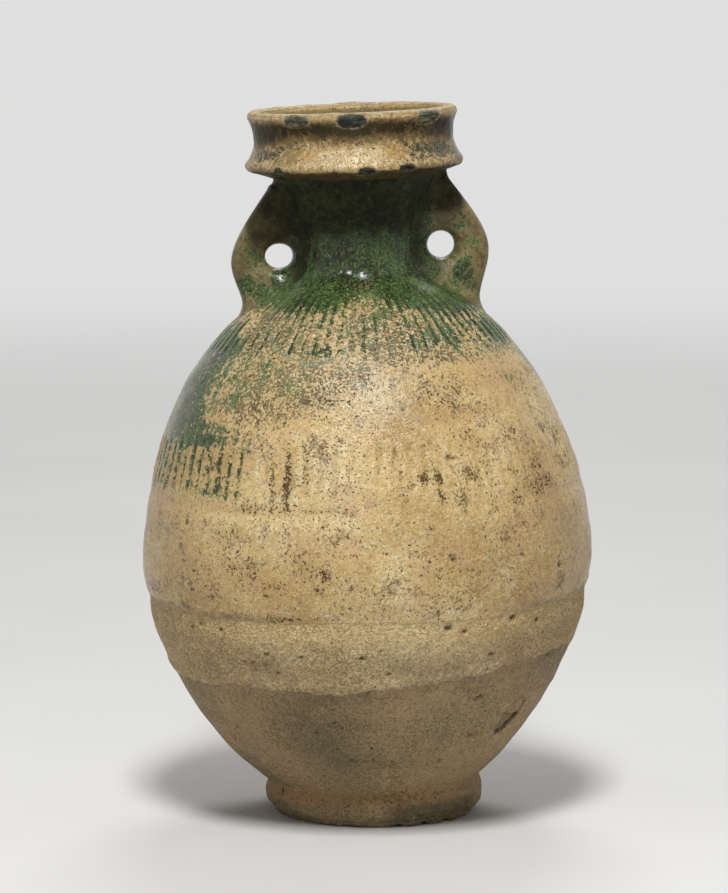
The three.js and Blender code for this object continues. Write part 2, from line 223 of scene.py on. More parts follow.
# Soot round the foot: its middle and its reach, in degrees
FOOT_SOOT = [(-52, 34), (95, 30), (170, 20)]

# Pits: angle, height and size
LOWER_PITS = [
    (-56.1, 48.6, 1.1), (-54.9, 49.1, 1), (-97.1, 26.8, 1.3), (-88.8, 27.4, 0.7), (-81.7, 26, 0.9),
    (-73.7, 25.9, 0.9), (-62, 25.2, 1.4), (-100.8, 42.4, 0.8), (-102.8, 41.3, 0.7), (-98.8, 40.6, 0.6),
    (-107.5, 38.5, 0.9), (-90.4, 53.2, 0.8), (-82, 43.4, 0.8), (-69.3, 75.6, 1.5), (-64.6, 74.1, 1.2),
    (-49.6, 76.8, 1.5), (-40.2, 73.7, 1.2), (-55.5, 64.8, 1.2), (-55.8, 59.4, 0.8), (-53, 34, 1),
    (-131.4, 74.4, 1), (-139, 75.5, 0.9), (-117.7, 67.3, 1), (-125.3, 64.2, 0.7), (-122.4, 64, 0.7),
    (-118.7, 63.5, 0.7), (-91.7, 66.2, 1.1), (-86.7, 69.2, 0.7), (-84.6, 60.7, 0.8), (-109.7, 54.4, 0.7),
    (-111, 20.5, 0.8), (-89.5, 31.8, 0.8), (-101.7, 31.8, 0.7), (-125, 32, 0.8), (-140, 38, 0.8),
    (-30, 60, 1), (12, 52, 1.4), (48, 36, 1.1), (77, 61, 1.3), (110, 44, 1.2), (131, 68, 1.4), (163, 40, 1.1),
    (-176, 62, 1.2),
]
UPPER_PITS = [
    (-116, 88, 1.2), (-139, 95, 1.3), (-48, 99, 1.1), (-101, 112, 0.9), (-77, 150, 1), (-33, 92, 1.3),
    (24, 96, 1.4), (61, 88, 1.1), (99, 105, 1.3), (151, 90, 1.2), (-143, 111.5, 1.3), (-88, 181, 1.3),
    (-86.5, 176.5, 1.2), (-90.5, 175.5, 1.4), (-85, 170, 1.5),
]

# The comb's two bands: strokes round the pot, where they start, the band's ends, depth, share and seed
COMB_BANDS = [
    (72, 0.1, 167.0, 186.5, 0.42, 0.58, 3),
    (90, 0.88, 120.5, 138.5, 0.48, 0.55, 8),
]

# The lozenge-shaped chip low on the right, as corners in angle and height: its pit, and the facet above it
CHIP_MIDDLE = (-36.5, 38)
CHIP_PIT = [
    (-41.2, 40.6), (-36.5, 39.7), (-31.6, 39.6), (-33.4, 36.6), (-36, 33.1), (-39.6, 32.7), (-41.3, 34.6),
]
CHIP_FACET = [
    (-41.2, 40.6), (-39.6, 42.8), (-37.2, 44.6), (-33.8, 45.2), (-31.2, 43.4), (-31.6, 39.6), (-36.5, 39.7),
]


# Profile curves

def bezier(points, steps=120):
    """Samples of a Bezier curve of two to four points."""
    points = np.array(points, float)
    share = np.linspace(0, 1, steps + 1)[:, None]
    while len(points) > 1:
        points = [a * (1 - share) + b * share for a, b in zip(points[:-1], points[1:])]
    return points[0]


def arc(centre, radius, start, end, steps):
    turn = np.radians(np.linspace(start, end, steps + 1))
    return np.column_stack([centre[0] + radius * np.cos(turn), centre[1] + radius * np.sin(turn)])


def along(start, slope, distance):
    slope = math.radians(slope)
    return (start[0] + distance * math.cos(slope), start[1] + distance * math.sin(slope))


def chain(*lines):
    """Joins polylines and drops the points that repeat."""
    line = np.vstack(lines)
    keep = np.r_[True, np.hypot(*np.diff(line, axis=0).T) > 1e-6]
    return line[keep]


def body_outline():
    base = (FOOT_JOINT_RADIUS, FOOT_HEIGHT)
    belly = (BELLY_RADIUS, BELLY_HEIGHT)
    top = (SHOULDER_RADIUS, SHOULDER_HEIGHT)
    lower = [
        base,
        along(base, 39, 1.1 * (BELLY_RADIUS - FOOT_JOINT_RADIUS)),
        (BELLY_RADIUS, BELLY_HEIGHT - 0.1 * BELLY_RISE),
        belly,
    ]
    upper = [
        belly,
        (BELLY_RADIUS, BELLY_HEIGHT + 0.42 * SHOULDER_RISE),
        along(top, -27, 0.65 * (BELLY_RADIUS - SHOULDER_RADIUS)),
        top,
    ]
    return chain(bezier(lower), bezier(upper))


def neck_outline():
    flare = SHOULDER_RADIUS - NECK_WAIST_RADIUS
    waist = (NECK_WAIST_RADIUS, NECK_WAIST_HEIGHT)
    top = (NECK_TOP_RADIUS, DISH_HEIGHT)
    lower = [
        (SHOULDER_RADIUS, SHOULDER_HEIGHT),
        (SHOULDER_RADIUS - 0.7 * flare, SHOULDER_HEIGHT + 0.7 * flare * math.tan(math.radians(27))),
        (NECK_WAIST_RADIUS, NECK_WAIST_HEIGHT - 0.5 * NECK_WAIST_RISE),
        waist,
    ]
    upper = [
        waist,
        (NECK_WAIST_RADIUS, NECK_WAIST_HEIGHT + 0.35 * NECK_FUNNEL_RISE),
        along(top, 63, -0.45 * NECK_FUNNEL_RISE),
        top,
    ]
    return chain(bezier(lower), bezier(upper))


def dish_outline():
    corner = (FLANGE_RADIUS - FLANGE_EDGE, FLANGE_HEIGHT)
    edge = arc(corner, FLANGE_EDGE, -90, 36, 16)
    waist = (DISH_WAIST_RADIUS, DISH_WAIST_HEIGHT)
    slope = bezier([
        edge[-1],
        (DISH_WAIST_RADIUS + 0.3 * FLANGE_EDGE, FLANGE_HEIGHT + 0.5 * DISH_WAIST_RISE),
        (DISH_WAIST_RADIUS, DISH_WAIST_HEIGHT - 0.25 * DISH_WAIST_RISE),
        waist,
    ])
    lip = bezier([waist, (DISH_WAIST_RADIUS, LIP_HEIGHT - 0.4 * LIP_RISE), (LIP_RADIUS, LIP_HEIGHT)])
    return chain(bezier([(NECK_TOP_RADIUS, DISH_HEIGHT), edge[0]]), edge, slope, lip)


def offset(line, distance):
    """A polyline moved sideways, outwards where the distance is positive."""
    way = np.gradient(line, axis=0)
    way /= np.hypot(*way.T)[:, None]
    return line + np.column_stack([way[:, 1], -way[:, 0]]) * np.reshape(distance, (-1, 1))


def lengths_along(line):
    return np.r_[0, np.cumsum(np.hypot(*np.diff(line, axis=0).T))]


def resample(line, steps):
    """A polyline in equal steps of its length."""
    lengths = lengths_along(line)
    wanted = np.linspace(0, lengths[-1], steps + 1)
    return np.column_stack([np.interp(wanted, lengths, line[:, k]) for k in (0, 1)])


def stretch(line, low, high, steps):
    """The stretch of a climbing polyline between two heights, in equal steps of its length."""
    inner = line[(line[:, 1] > low + 1e-6) & (line[:, 1] < high - 1e-6)]
    ends = [[np.interp(h, line[:, 1], line[:, 0]), h] for h in (low, high)]
    return resample(np.vstack([ends[0], inner, ends[1]]), steps)


def body_wall(height):
    share = np.clip((height - FOOT_HEIGHT) / (SEAM_HEIGHT - FOOT_HEIGHT), 0, 1)
    return BASE_WALL + (BELLY_WALL - BASE_WALL) * share


BODY = body_outline()
NECK = neck_outline()
DISH = dish_outline()
BODY_INSIDE = offset(BODY, -body_wall(BODY[:, 1]))
NECK_INSIDE = offset(NECK, -NECK_WALL)
OUTSIDE = chain(BODY, NECK, DISH)
OUTSIDE_LENGTHS = lengths_along(OUTSIDE)


def radius_at(height):
    return np.interp(height, OUTSIDE[:, 1], OUTSIDE[:, 0])


def run_at(height, radius=None):
    """The distance along the outline from the foot's joint up to a height, and on over the rolled lip."""
    run = np.interp(height, OUTSIDE[:, 1], OUTSIDE_LENGTHS)
    if radius is None:
        return run
    turn = np.arctan2(height - LIP_HEIGHT, radius - LIP_RADIUS + LIP_ROLL)
    return run + np.where(height > LIP_HEIGHT, LIP_ROLL * turn, 0)


# Node trees

class Tree:
    """A node tree, with short calls that make a node, feed its inputs and give back an output."""

    def __init__(self, tree):
        self.tree = tree

    def feed(self, socket, value):
        if isinstance(value, bpy.types.NodeSocket):
            self.tree.links.new(value, socket)
        else:
            socket.default_value = value

    def node(self, kind, *inputs, out=0, settings=None, **named):
        node = self.tree.nodes.new(kind)
        for key, value in (settings or {}).items():
            setattr(node, key, value)
        for socket, value in zip(node.inputs, inputs):
            if value is not None:
                self.feed(socket, value)
        for name, value in named.items():
            self.feed(node.inputs[name.replace("_", " ")], value)
        return node.outputs[out] if node.outputs else None

    def math(self, operation, *inputs):
        return self.node("ShaderNodeMath", *inputs, settings={"operation": operation})

    def vector(self, operation, *inputs, out=0, **named):
        return self.node("ShaderNodeVectorMath", *inputs, out=out, settings={"operation": operation}, **named)

    def fold(self, operation, values):
        total = values[0]
        for value in values[1:]:
            total = self.math(operation, total, value)
        return total

    def add(self, *terms):
        return self.fold("ADD", terms)

    def times(self, *factors):
        return self.fold("MULTIPLY", factors)

    def most(self, *values):
        return self.fold("MAXIMUM", values)

    def blend(self, share, low, high):
        """From low to high as a share goes from 0 to 1."""
        return self.range(share, 0.0, 1.0, low, high)

    def range(self, value, low, high, to_low=0.0, to_high=1.0, smooth=False):
        kind = "SMOOTHSTEP" if smooth else "LINEAR"
        return self.node(
            "ShaderNodeMapRange", value, low, high, to_low, to_high,
            settings={"interpolation_type": kind, "clamp": True},
        )


def colour(red, green, blue):
    """A colour given as 0 to 255 in sRGB, as the shader wants it."""
    linear = [((c / 255 + 0.055) / 1.055) ** 2.4 if c > 10 else c / 255 / 12.92 for c in (red, green, blue)]
    return (*linear, 1.0)


class Surface(Tree):
    """A material's tree: noises on Object coordinates, and a tone that is laid on in coats."""

    def __init__(self, name, **noises):
        self.material = bpy.data.materials.new(name)
        self.material.use_nodes = True
        super().__init__(self.material.node_tree)
        self.tree.nodes.clear()
        self.place = self.node("ShaderNodeTexCoord", out="Object")
        self.noises = {key: self.noise(*sizes) for key, sizes in noises.items()}
        self.tone = None

    def area(self, name, out="Fac"):
        """What a piece carries under this name, from point to point."""
        return self.node("ShaderNodeAttribute", out=out, settings={"attribute_name": name})

    def noise(self, size_mm, detail=3.0, roughness=0.55, place=None):
        return self.node(
            "ShaderNodeTexNoise",
            Vector=place or self.place,
            Scale=1000 / size_mm,
            Detail=detail,
            Roughness=roughness,
        )

    def cells(self, size_mm, feature="F1", out=0, place=None):
        return self.node(
            "ShaderNodeTexVoronoi", out=out, settings={"feature": feature},
            Vector=place or self.place, Scale=1000 / size_mm,
        )

    def shaken(self, scale, reach):
        """The place, shaken to and fro by a noise."""
        noise = self.node("ShaderNodeTexNoise", out="Color", Vector=self.place, Scale=scale)
        shift = self.vector("SUBTRACT", noise, (0.5, 0.5, 0.5))
        return self.vector("ADD", self.place, self.vector("SCALE", shift, Scale=reach))

    def weigh(self, **weights):
        """The sum of the surface's noises round zero, each with its weight."""
        parts = [(self.noises[name], weight) for name, weight in weights.items()]
        return self.add(*[self.times(self.math("SUBTRACT", noise, 0.5), weight) for noise, weight in parts])

    def cloud(self, **weights):
        """The same sum round a half."""
        return self.add(0.5, self.weigh(**weights))

    def stack(self, **weights):
        """The sum of the noises as they are."""
        return self.add(*[self.times(self.noises[name], weight) for name, weight in weights.items()])

    def torn(self, name, low, high, strength=1.0, **weights):
        """An area whose edge is torn by noises: 0 up to the low level, 1 from the high one."""
        area = self.area(name)
        if strength != 1.0:
            area = self.times(area, strength)
        return self.range(self.add(area, self.weigh(**weights)), low, high)

    def ramp(self, value, *stops):
        """A colour for each level of a value: each stop is the level, then the colour."""
        node = self.tree.nodes.new("ShaderNodeValToRGB")
        elements = node.color_ramp.elements
        while len(elements) < len(stops):
            elements.new(0.5)
        for element, (position, *tone) in zip(elements, stops):
            element.position = position
            element.color = colour(*tone)
        self.feed(node.inputs[0], value)
        return node.outputs[0]

    def mix(self, share, first, second):
        node = self.tree.nodes.new("ShaderNodeMix")
        node.data_type = "RGBA"
        self.feed(node.inputs[0], share)
        for socket, tone in ((node.inputs[6], first), (node.inputs[7], second)):
            self.feed(socket, tone if isinstance(tone, bpy.types.NodeSocket) else colour(*tone))
        return node.outputs[2]

    def coat(self, share, tone, strength=1.0):
        """Lays a colour over the tone in a share, from point to point."""
        if strength != 1.0:
            share = self.times(share, strength)
        self.tone = self.mix(share, self.tone, tone)

    def cracks(self, cell_mm, line_mm, place):
        """A net of fine lines, as in crazed glaze: 1 on a line."""
        distance = self.cells(cell_mm, feature="DISTANCE_TO_EDGE", place=place)
        return self.range(distance, line_mm / cell_mm, 0.3 * line_mm / cell_mm)

    def pits(self, cell_mm, pit_mm, share):
        """Round pits of about one size, in a share of the cells: 1 in the middle of a pit, 0 outside it."""
        lot = self.node("ShaderNodeSeparateColor", self.cells(cell_mm, out=1))
        chosen = self.math("LESS_THAN", lot, share)
        edge = pit_mm / cell_mm / 2
        return self.times(self.range(self.cells(cell_mm), edge, 0.35 * edge, smooth=True), chosen)

    def finish(self, roughness, height, depth_mm, gloss):
        """Ends the tree in the shader and gives back the material."""
        bump = self.node("ShaderNodeBump", Strength=1.0, Distance=depth_mm * MM, Height=height)
        shader = self.node(
            "ShaderNodeBsdfPrincipled",
            Base_Color=self.tone, Roughness=roughness, Normal=bump, Specular_IOR_Level=gloss,
        )
        self.node("ShaderNodeOutputMaterial", shader)
        return self.material


def geometry_tree(name, sizes):
    """A Geometry Nodes tree with a geometry input and output and named inputs for sizes."""
    tree = bpy.data.node_groups.new(name, "GeometryNodeTree")
    tree.is_modifier = True
    tree.interface.new_socket(name="Geometry", in_out="INPUT", socket_type="NodeSocketGeometry")
    for size, kind in sizes.items():
        tree.interface.new_socket(name=size, in_out="INPUT", socket_type="NodeSocket" + kind)
    tree.interface.new_socket(name="Geometry", in_out="OUTPUT", socket_type="NodeSocketGeometry")
    inlet = tree.nodes.new("NodeGroupInput")
    outlet = tree.nodes.new("NodeGroupOutput")
    return Tree(tree), [inlet.outputs[k] for k in range(len(sizes) + 1)], outlet.inputs[0]


def run_tree(piece, make, values):
    """Runs a tree on a piece and keeps the result as its plain mesh."""
    modifier = piece.modifiers.new(make.tree.name, "NODES")
    modifier.node_group = make.tree
    for item in make.tree.interface.items_tree:
        if item.in_out == "INPUT" and item.name in values:
            modifier[item.identifier] = values[item.name]
    evaluated = piece.evaluated_get(bpy.context.evaluated_depsgraph_get())
    mesh = bpy.data.meshes.new_from_object(evaluated)
    piece.modifiers.remove(modifier)
    piece.data = mesh
    mesh.name = piece.name


def finish_tree(make, geometry, material, outlet):
    whole = make.node("GeometryNodeRealizeInstances", geometry)
    make.feed(outlet, make.node("GeometryNodeSetMaterial", whole, Material=material))


def thrown_wall_tree():
    """Turns a profile round the axis: a chain of points with the radius in X and the height in Z."""
    make, inlets, outlet = geometry_tree("thrown wall", {
        "Steps Round": "Int",
        "Ring Spacing": "Float",
        "Ring Depth": "Float",
        "Material": "Material",
    })
    profile, steps, spacing, depth, material = inlets
    rows = make.node("GeometryNodeAttributeDomainSize", profile)
    sheet = make.node("GeometryNodeMeshGrid", 1.0, 1.0, make.add(steps, 1), rows)
    index = make.node("GeometryNodeInputIndex")
    row = make.math("FLOORED_MODULO", index, rows)
    column = make.math("FLOOR", make.math("DIVIDE", make.add(index, 0.5), rows))
    sample = make.node(
        "GeometryNodeSampleIndex", settings={"data_type": "FLOAT_VECTOR"}, out="Value",
        Geometry=profile, Value=make.node("GeometryNodeInputPosition"), Index=row,
    )
    radius, height = (make.node("ShaderNodeSeparateXYZ", sample, out=way) for way in "XZ")
    wave = make.math("SINE", make.math("DIVIDE", make.times(height, 2 * math.pi), spacing))
    ringed = make.add(radius, make.times(depth, wave, make.math("GREATER_THAN", radius, 0.001)))
    turn = make.math("DIVIDE", make.times(column, 2 * math.pi), steps)
    spot = make.node(
        "ShaderNodeCombineXYZ",
        make.times(ringed, make.math("COSINE", turn)),
        make.times(ringed, make.math("SINE", turn)),
        height,
    )
    bent = make.node("GeometryNodeSetPosition", sheet, Position=spot)
    welded = make.node("GeometryNodeMergeByDistance", bent, Distance=2e-6)
    finish_tree(make, make.node("GeometryNodeSetShadeSmooth", welded), material, outlet)
    return make


def comb_tree():
    """Presses bands of comb strokes into a wall. The wall carries its turn and its rise as attributes."""
    make, inlets, outlet = geometry_tree("comb strokes", {
        "Strokes Round": "Float",
        "Start": "Float",
        "Band Low": "Float",
        "Band High": "Float",
        "Stroke Depth": "Float",
        "Stroke Share": "Float",
        "Seed": "Int",
        "Material": "Material",
    })
    wall, count, start, low, high, depth, share, seed, material = inlets

    def carried(name):
        return make.node("GeometryNodeInputNamedAttribute", name, settings={"data_type": "FLOAT"})

    wander = make.node("ShaderNodeTexNoise", Vector=make.node("GeometryNodeInputPosition"), Scale=35.0)
    drift = make.times(make.math("SUBTRACT", wander, 0.5), 0.9)
    stroke = make.add(make.math("DIVIDE", make.times(carried("turn"), count), 2 * math.pi), drift, start)
    number = make.math("FLOORED_MODULO", make.math("FLOOR", stroke), count)
    across = make.math("ABSOLUTE", make.math("SUBTRACT", make.math("FRACT", stroke), 0.5))

    def lot(low_value, high_value, salt):
        return make.node(
            "FunctionNodeRandomValue", None, None, low_value, high_value,
            settings={"data_type": "FLOAT"}, out=1, ID=number, Seed=make.add(seed, salt),
        )

    half = make.times(share, 0.5, lot(0.7, 1.2, 1))
    pressed = make.range(make.math("DIVIDE", across, half), 1.0, 0.25, smooth=True)
    rise = carried("rise")
    entered = make.math("SUBTRACT", rise, make.add(low, lot(-1.6, 1.6, 2)))
    left = make.math("SUBTRACT", make.add(high, lot(-1.2, 1.2, 3)), rise)
    groove = make.times(
        pressed, make.range(entered, 0.0, 3.0, smooth=True), make.range(left, 0.0, 2.5, smooth=True),
        carried("sound"), lot(0.65, 1.0, 4),
    )
    normal = make.node("GeometryNodeInputNormal")
    inwards = make.vector("SCALE", normal, Scale=make.times(groove, depth, -1.0))
    moved = make.node("GeometryNodeSetPosition", wall, Offset=inwards)
    stored = make.node(
        "GeometryNodeStoreNamedAttribute", settings={"data_type": "FLOAT", "domain": "POINT"},
        Geometry=moved, Name="groove", Value=make.most(groove, carried("groove")),
    )
    finish_tree(make, stored, material, outlet)
    return make


# Areas and unevenness on the thrown walls

def wave_noise(angle, run, size, seed):
    """Smooth seeded unevenness over a wall, about -1 to 1, whose bumps are about `size` mm across."""
    draw = np.random.default_rng(seed)
    total = 0
    for _ in range(9):
        around = draw.integers(1, max(2, int(2 * math.pi * MIDDLE_RADIUS / size)) + 1)
        up = draw.normal(0, 2 * math.pi / size)
        total = total + np.sin(around * angle + up * run + draw.uniform(0, 2 * math.pi))
    return total / 4.5


def grain(points, size, seed):
    """Sandy unevenness in space, -1 to 1, whose bumps are `size` mm across."""
    table = np.random.default_rng(seed).uniform(-1, 1, 4096)
    place = points / size
    corner = np.floor(place).astype(np.int64)
    share = place - corner
    share = share * share * (3 - 2 * share)
    total = 0
    for ahead in np.ndindex(2, 2, 2):
        key = (corner + ahead) * (73856093, 19349663, 83492791)
        weight = np.prod(np.where(ahead, share, 1 - share), axis=1)
        total = total + table[(key[:, 0] ^ key[:, 1] ^ key[:, 2]) & 4095] * weight
    return total


def smooth_step(value, low, high):
    share = np.clip((value - low) / (high - low), 0, 1)
    return share * share * (3 - 2 * share)


def hump(value, middle, width):
    return np.exp(-(((value - middle) / width) ** 2))


def waves(turn, *parts):
    """Waves round the pot, each given by its swing, how often it comes round, and its start in degrees."""
    return sum(swing * np.sin(np.radians(count * turn + start)) for swing, count, start in parts)


def turned_from(angle, centre):
    """Radians round the pot from a place given in degrees, the shorter way."""
    return (angle - math.radians(centre) + math.pi) % (2 * math.pi) - math.pi


def from_front(angle):
    """Degrees round the pot from the front, -180 to 180."""
    return (np.degrees(angle) - FRONT + 180) % 360 - 180


def rotated(first, second, turn):
    """A pair of coordinates turned by an angle in radians."""
    c, s = math.cos(turn), math.sin(turn)
    return first * c - second * s, first * s + second * c


def away(angle, run, centre, height, tilt=0):
    """Distances in mm along and across a mark on the wall, from its middle."""
    side = turned_from(angle, centre) * radius_at(height)
    return rotated(side, run - run_at(height), -math.radians(tilt))


def mark(angle, run, soft, centre, height, half_wide, half_high, strength=1.0, tilt=0):
    """An oval mark: its strength in its middle, 0 beyond its edge."""
    side, climb = away(angle, run, centre, height, tilt)
    return strength * (1 - smooth_step(np.hypot(side / half_wide, climb / half_high), 1 - soft, 1 + soft))


def strongest(angle, run, soft, marks):
    amount = 0 * angle
    for numbers in marks:
        amount = np.maximum(amount, mark(angle, run, soft, *numbers))
    return amount


def scattered(seed, count, low, high):
    """Small pits thrown at random between two heights: angle, height and size."""
    draw = np.random.default_rng(seed)
    return [(draw.uniform(-180, 180), draw.uniform(low, high), draw.uniform(0.5, 0.9)) for _ in range(count)]


def sway(height):
    """The wall's centre line strays a little to the side as it climbs."""
    knots = [0, 8, 35, 72, 110, 150, 190]
    aside = np.array([0.5, 0.5, -0.4, 0.0, 0.45, -0.35, 0.0])
    place = np.interp(height, knots, np.arange(len(knots)))
    low = np.floor(place).astype(int)
    high = np.minimum(low + 1, len(knots) - 1)
    share = smooth_step(place - low, 0, 1)
    return aside[low] * (1 - share) + aside[high] * share


def ledge_wander(angle):
    """How far the seam's ledge strays up or down round the pot: it was wiped by hand."""
    return 0.9 + waves(from_front(angle), (0.9, 2, 250), (0.5, 5, 110), (0.25, 13, 165))


def ledge_share(angle):
    """How much of the ledge is left at the seam: it was wiped away most to the right of the front."""
    turn = np.degrees(angle) - FRONT
    sides = 0.28 * np.cos(np.radians(turn + 95)) ** 2
    return 0.68 - 0.64 * hump(turn, 14, 38) + sides + waves(turn, (0.05, 9, 0))


def slip_edge(angle):
    """The height down to which the pot was dipped in slip. It rises to the right of the front."""
    turn = from_front(angle)
    right = 6.5 * smooth_step(turn, 8, 48) - 3 * smooth_step(turn, 120, 178)
    return 54 + right + 3.5 * smooth_step(-turn, 90, 170) + waves(turn, (0.8, 7, 0), (0.4, 17, 50))


def green_splash(angle, height):
    """How much copper glaze was splashed on: a collar round the neck's foot, with runs and big splashes."""
    turn = from_front(angle)
    edge = 186 - 3.2 * smooth_step(np.abs(turn), 8, 45) - 3.5 * smooth_step(turn, 35, 90) \
        - 2 * smooth_step(-turn, 70, 120) + waves(turn, (0.9, 5, 40), (0.7, 11, 10))
    collar = smooth_step(height, edge - 5, edge + 5)
    return np.maximum(collar, strongest(angle, run_at(height), 0.6, SPLASHES))


def seep(angle, height):
    """How much green glaze the comb strokes hold: it ran down into them from the collar and the splashes."""
    turn = from_front(angle)
    upper = smooth_step(height, 163.5, 171) * smooth_step(height, 190, 185) \
        * (1.04 + waves(turn, (0.1, 4, 150)) - 0.36 * hump(turn, -3, 8)) \
        * (1 - 0.3 * smooth_step(-turn, 28, 42) * smooth_step(height, 175, 180)) \
        * (1 + 0.25 * smooth_step(turn, 12, 24) * smooth_step(turn, 80, 60))
    left = smooth_step(-turn, 29, 38) * smooth_step(-turn, 100, 76)
    back = smooth_step(np.abs(turn - 165), 40, 22)
    lower = smooth_step(height, 117, 122) * smooth_step(height, 148, 140)
    lower = lower * np.maximum(1.12 * left, 0.95 * back)
    return np.clip(np.maximum(upper, lower), 0, 1.3)


def pale_run(angle, height):
    """A thin pale run of milky blue-green glaze that wandered down the shoulder and up again."""
    spots = []
    for (a, low, thin), (b, high, thick) in zip(PALE_RUN[:-1], PALE_RUN[1:]):
        for share in np.linspace(0, 1, 9):
            size = 0.3 + 0.6 * (thin + (thick - thin) * share)
            spots.append((a + (b - a) * share, low + (high - low) * share, size, size))
    return strongest(angle, run_at(height), 0.8, spots)


def grime(angle, height):
    """Olive-grey dirt that settled in the rough glaze, over the upper strokes and the belly's upper left."""
    turn = from_front(angle)
    uneven = 0.9 + 0.1 * smooth_step(turn, 5, 30) + waves(turn, (0.12, 6, 0))
    settled = smooth_step(height, 160, 168) * uneven
    return np.maximum(settled, strongest(angle, run_at(height), 0.9, GRIME))


def chips(angle, run, places, unevenness):
    """Chips in a wall: how deep they bite in mm, the broken clay, how dark it is, and its bruised edge."""
    depth, broken, dark, bruised = (0 * angle for _ in range(4))
    for centre, level, half_wide, half_high, tilt, bite, shade in places:
        side, climb = away(angle, run, centre, level, tilt)
        square = np.abs(side / half_wide) ** CHIP_SQUARENESS + np.abs(climb / half_high) ** CHIP_SQUARENESS
        reach = square ** (1 / CHIP_SQUARENESS) + 0.07 * unevenness
        depth = np.maximum(depth, bite * np.clip(1.1 - reach, 0, 1) ** 0.6)
        broken = np.maximum(broken, 1 - smooth_step(reach, 0.88, 1.08))
        # A chip's darkness: its dark broken clay, partly painted shade.
        dark = np.maximum(dark, shade * (1 - smooth_step(reach, 1.0, 1.3)))
        bruised = np.maximum(bruised, 1 - smooth_step(np.abs(reach - 1.12), 0.02, 0.16))
    return depth, broken, dark, bruised


# Pieces

WALL = thrown_wall_tree()
COMB = comb_tree()


def new_object(name, data):
    thing = bpy.data.objects.new(name, data)
    bpy.context.scene.collection.objects.link(thing)
    return thing


def read(items, name, size=3, kind=float):
    """One property of all points or triangles of a mesh, a row each."""
    values = np.empty(len(items) * size, kind)
    items.foreach_get(name, values)
    return values.reshape(-1, size)


def points_of(piece):
    """A piece's points in the pot's frame, in mm."""
    return read(piece.data.vertices, "co") / MM


def move_points(piece, points):
    piece.data.vertices.foreach_set("co", (points * MM).ravel())
    piece.data.update()


def wall_places(piece):
    """Radius, angle and height of a piece's points."""
    x, y, z = points_of(piece).T
    return np.hypot(x, y), np.arctan2(y, x), z


def press(piece, distance):
    """Moves a piece's points along their normals, outwards where the distance in mm is positive."""
    move_points(piece, points_of(piece) + read(piece.data.vertices, "normal") * np.reshape(distance, (-1, 1)))


def sandy(piece, amount, seed):
    """Presses sandy grain into a piece; the amount, in mm, may differ from point to point."""
    points = points_of(piece)
    grains = [share * grain(points, size, seed + k) for k, (share, size) in enumerate(SAND)]
    press(piece, amount * sum(grains))


def widen(points, out):
    """Moves points away from the axis by so many mm."""
    points[:, :2] *= (1 + out / np.maximum(np.hypot(*points[:, :2].T), 1))[:, None]


def give(piece, **areas):
    """Carries values from point to point under their names, for the comb and the finishes to read."""
    for name, values in areas.items():
        attribute = piece.data.attributes.new(name, "FLOAT", "POINT")
        attribute.data.foreach_set("value", np.ascontiguousarray(values, np.float32))


def give_streaks(piece, angle, height):
    """Carries a place in which the axis is shortened, so that a noise on it runs in streaks up the wall."""
    round_pot = [MIDDLE_RADIUS * np.cos(angle), MIDDLE_RADIUS * np.sin(angle)]
    places = np.column_stack([*round_pot, STREAK_SHORTENING * height]) * MM
    attribute = piece.data.attributes.new("streak", "FLOAT_VECTOR", "POINT")
    attribute.data.foreach_set("vector", np.ascontiguousarray(places.ravel(), np.float32))


def face_outwards(piece):
    mesh = piece.data
    mesh.calc_loop_triangles()
    corners = read(mesh.loop_triangles, "vertices", kind=int)
    a, b, c = (points_of(piece)[corners[:, k]] for k in range(3))
    if np.einsum("ij,ij->i", a, np.cross(b, c)).sum() < 0:
        mesh.flip_normals()
    mesh.update()


def throw(name, profile, material, steps, spacing=11.0, depth=0.0):
    """Throws a wall from its closed profile: the piece, and the radius, angle and height of its points."""
    mesh = bpy.data.meshes.new(name)
    points = [(r * MM, 0, h * MM) for r, h in profile]
    mesh.from_pydata(points, [(k, k + 1) for k in range(len(points) - 1)], [])
    piece = new_object(name, mesh)
    run_tree(piece, WALL, {
        "Steps Round": steps,
        "Ring Spacing": spacing * MM,
        "Ring Depth": depth * MM,
        "Material": material,
    })
    face_outwards(piece)
    return piece, *wall_places(piece)


def outer(radius, height, line, tolerance=0.8):
    """1 on the points that lie on the outside wall, 0 on those inside."""
    return (radius > np.interp(height, line[:, 1], line[:, 0]) - tolerance).astype(float)


def settle(piece):
    """The last step on every piece: the fired pot bent over a little, and it stands on a slanted cut."""
    x, y, z = points_of(piece).T
    run = LIP_HEIGHT - SAG_FROM
    share = np.maximum(0, z - SAG_FROM) / run
    z = z + x * 2 * SAG * share / run
    x = x - SAG * share**2 + sway(z)
    x, z = rotated(x, z, LEAN)
    if piece.name.startswith("foot"):
        z = np.maximum(z, 0)
    move_points(piece, np.column_stack([x, y, z]))


def dress(piece, node):
    settle(piece)
    piece.data.set_sharp_from_angle(angle=math.radians(40))
    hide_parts(node)
    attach(piece, "root")


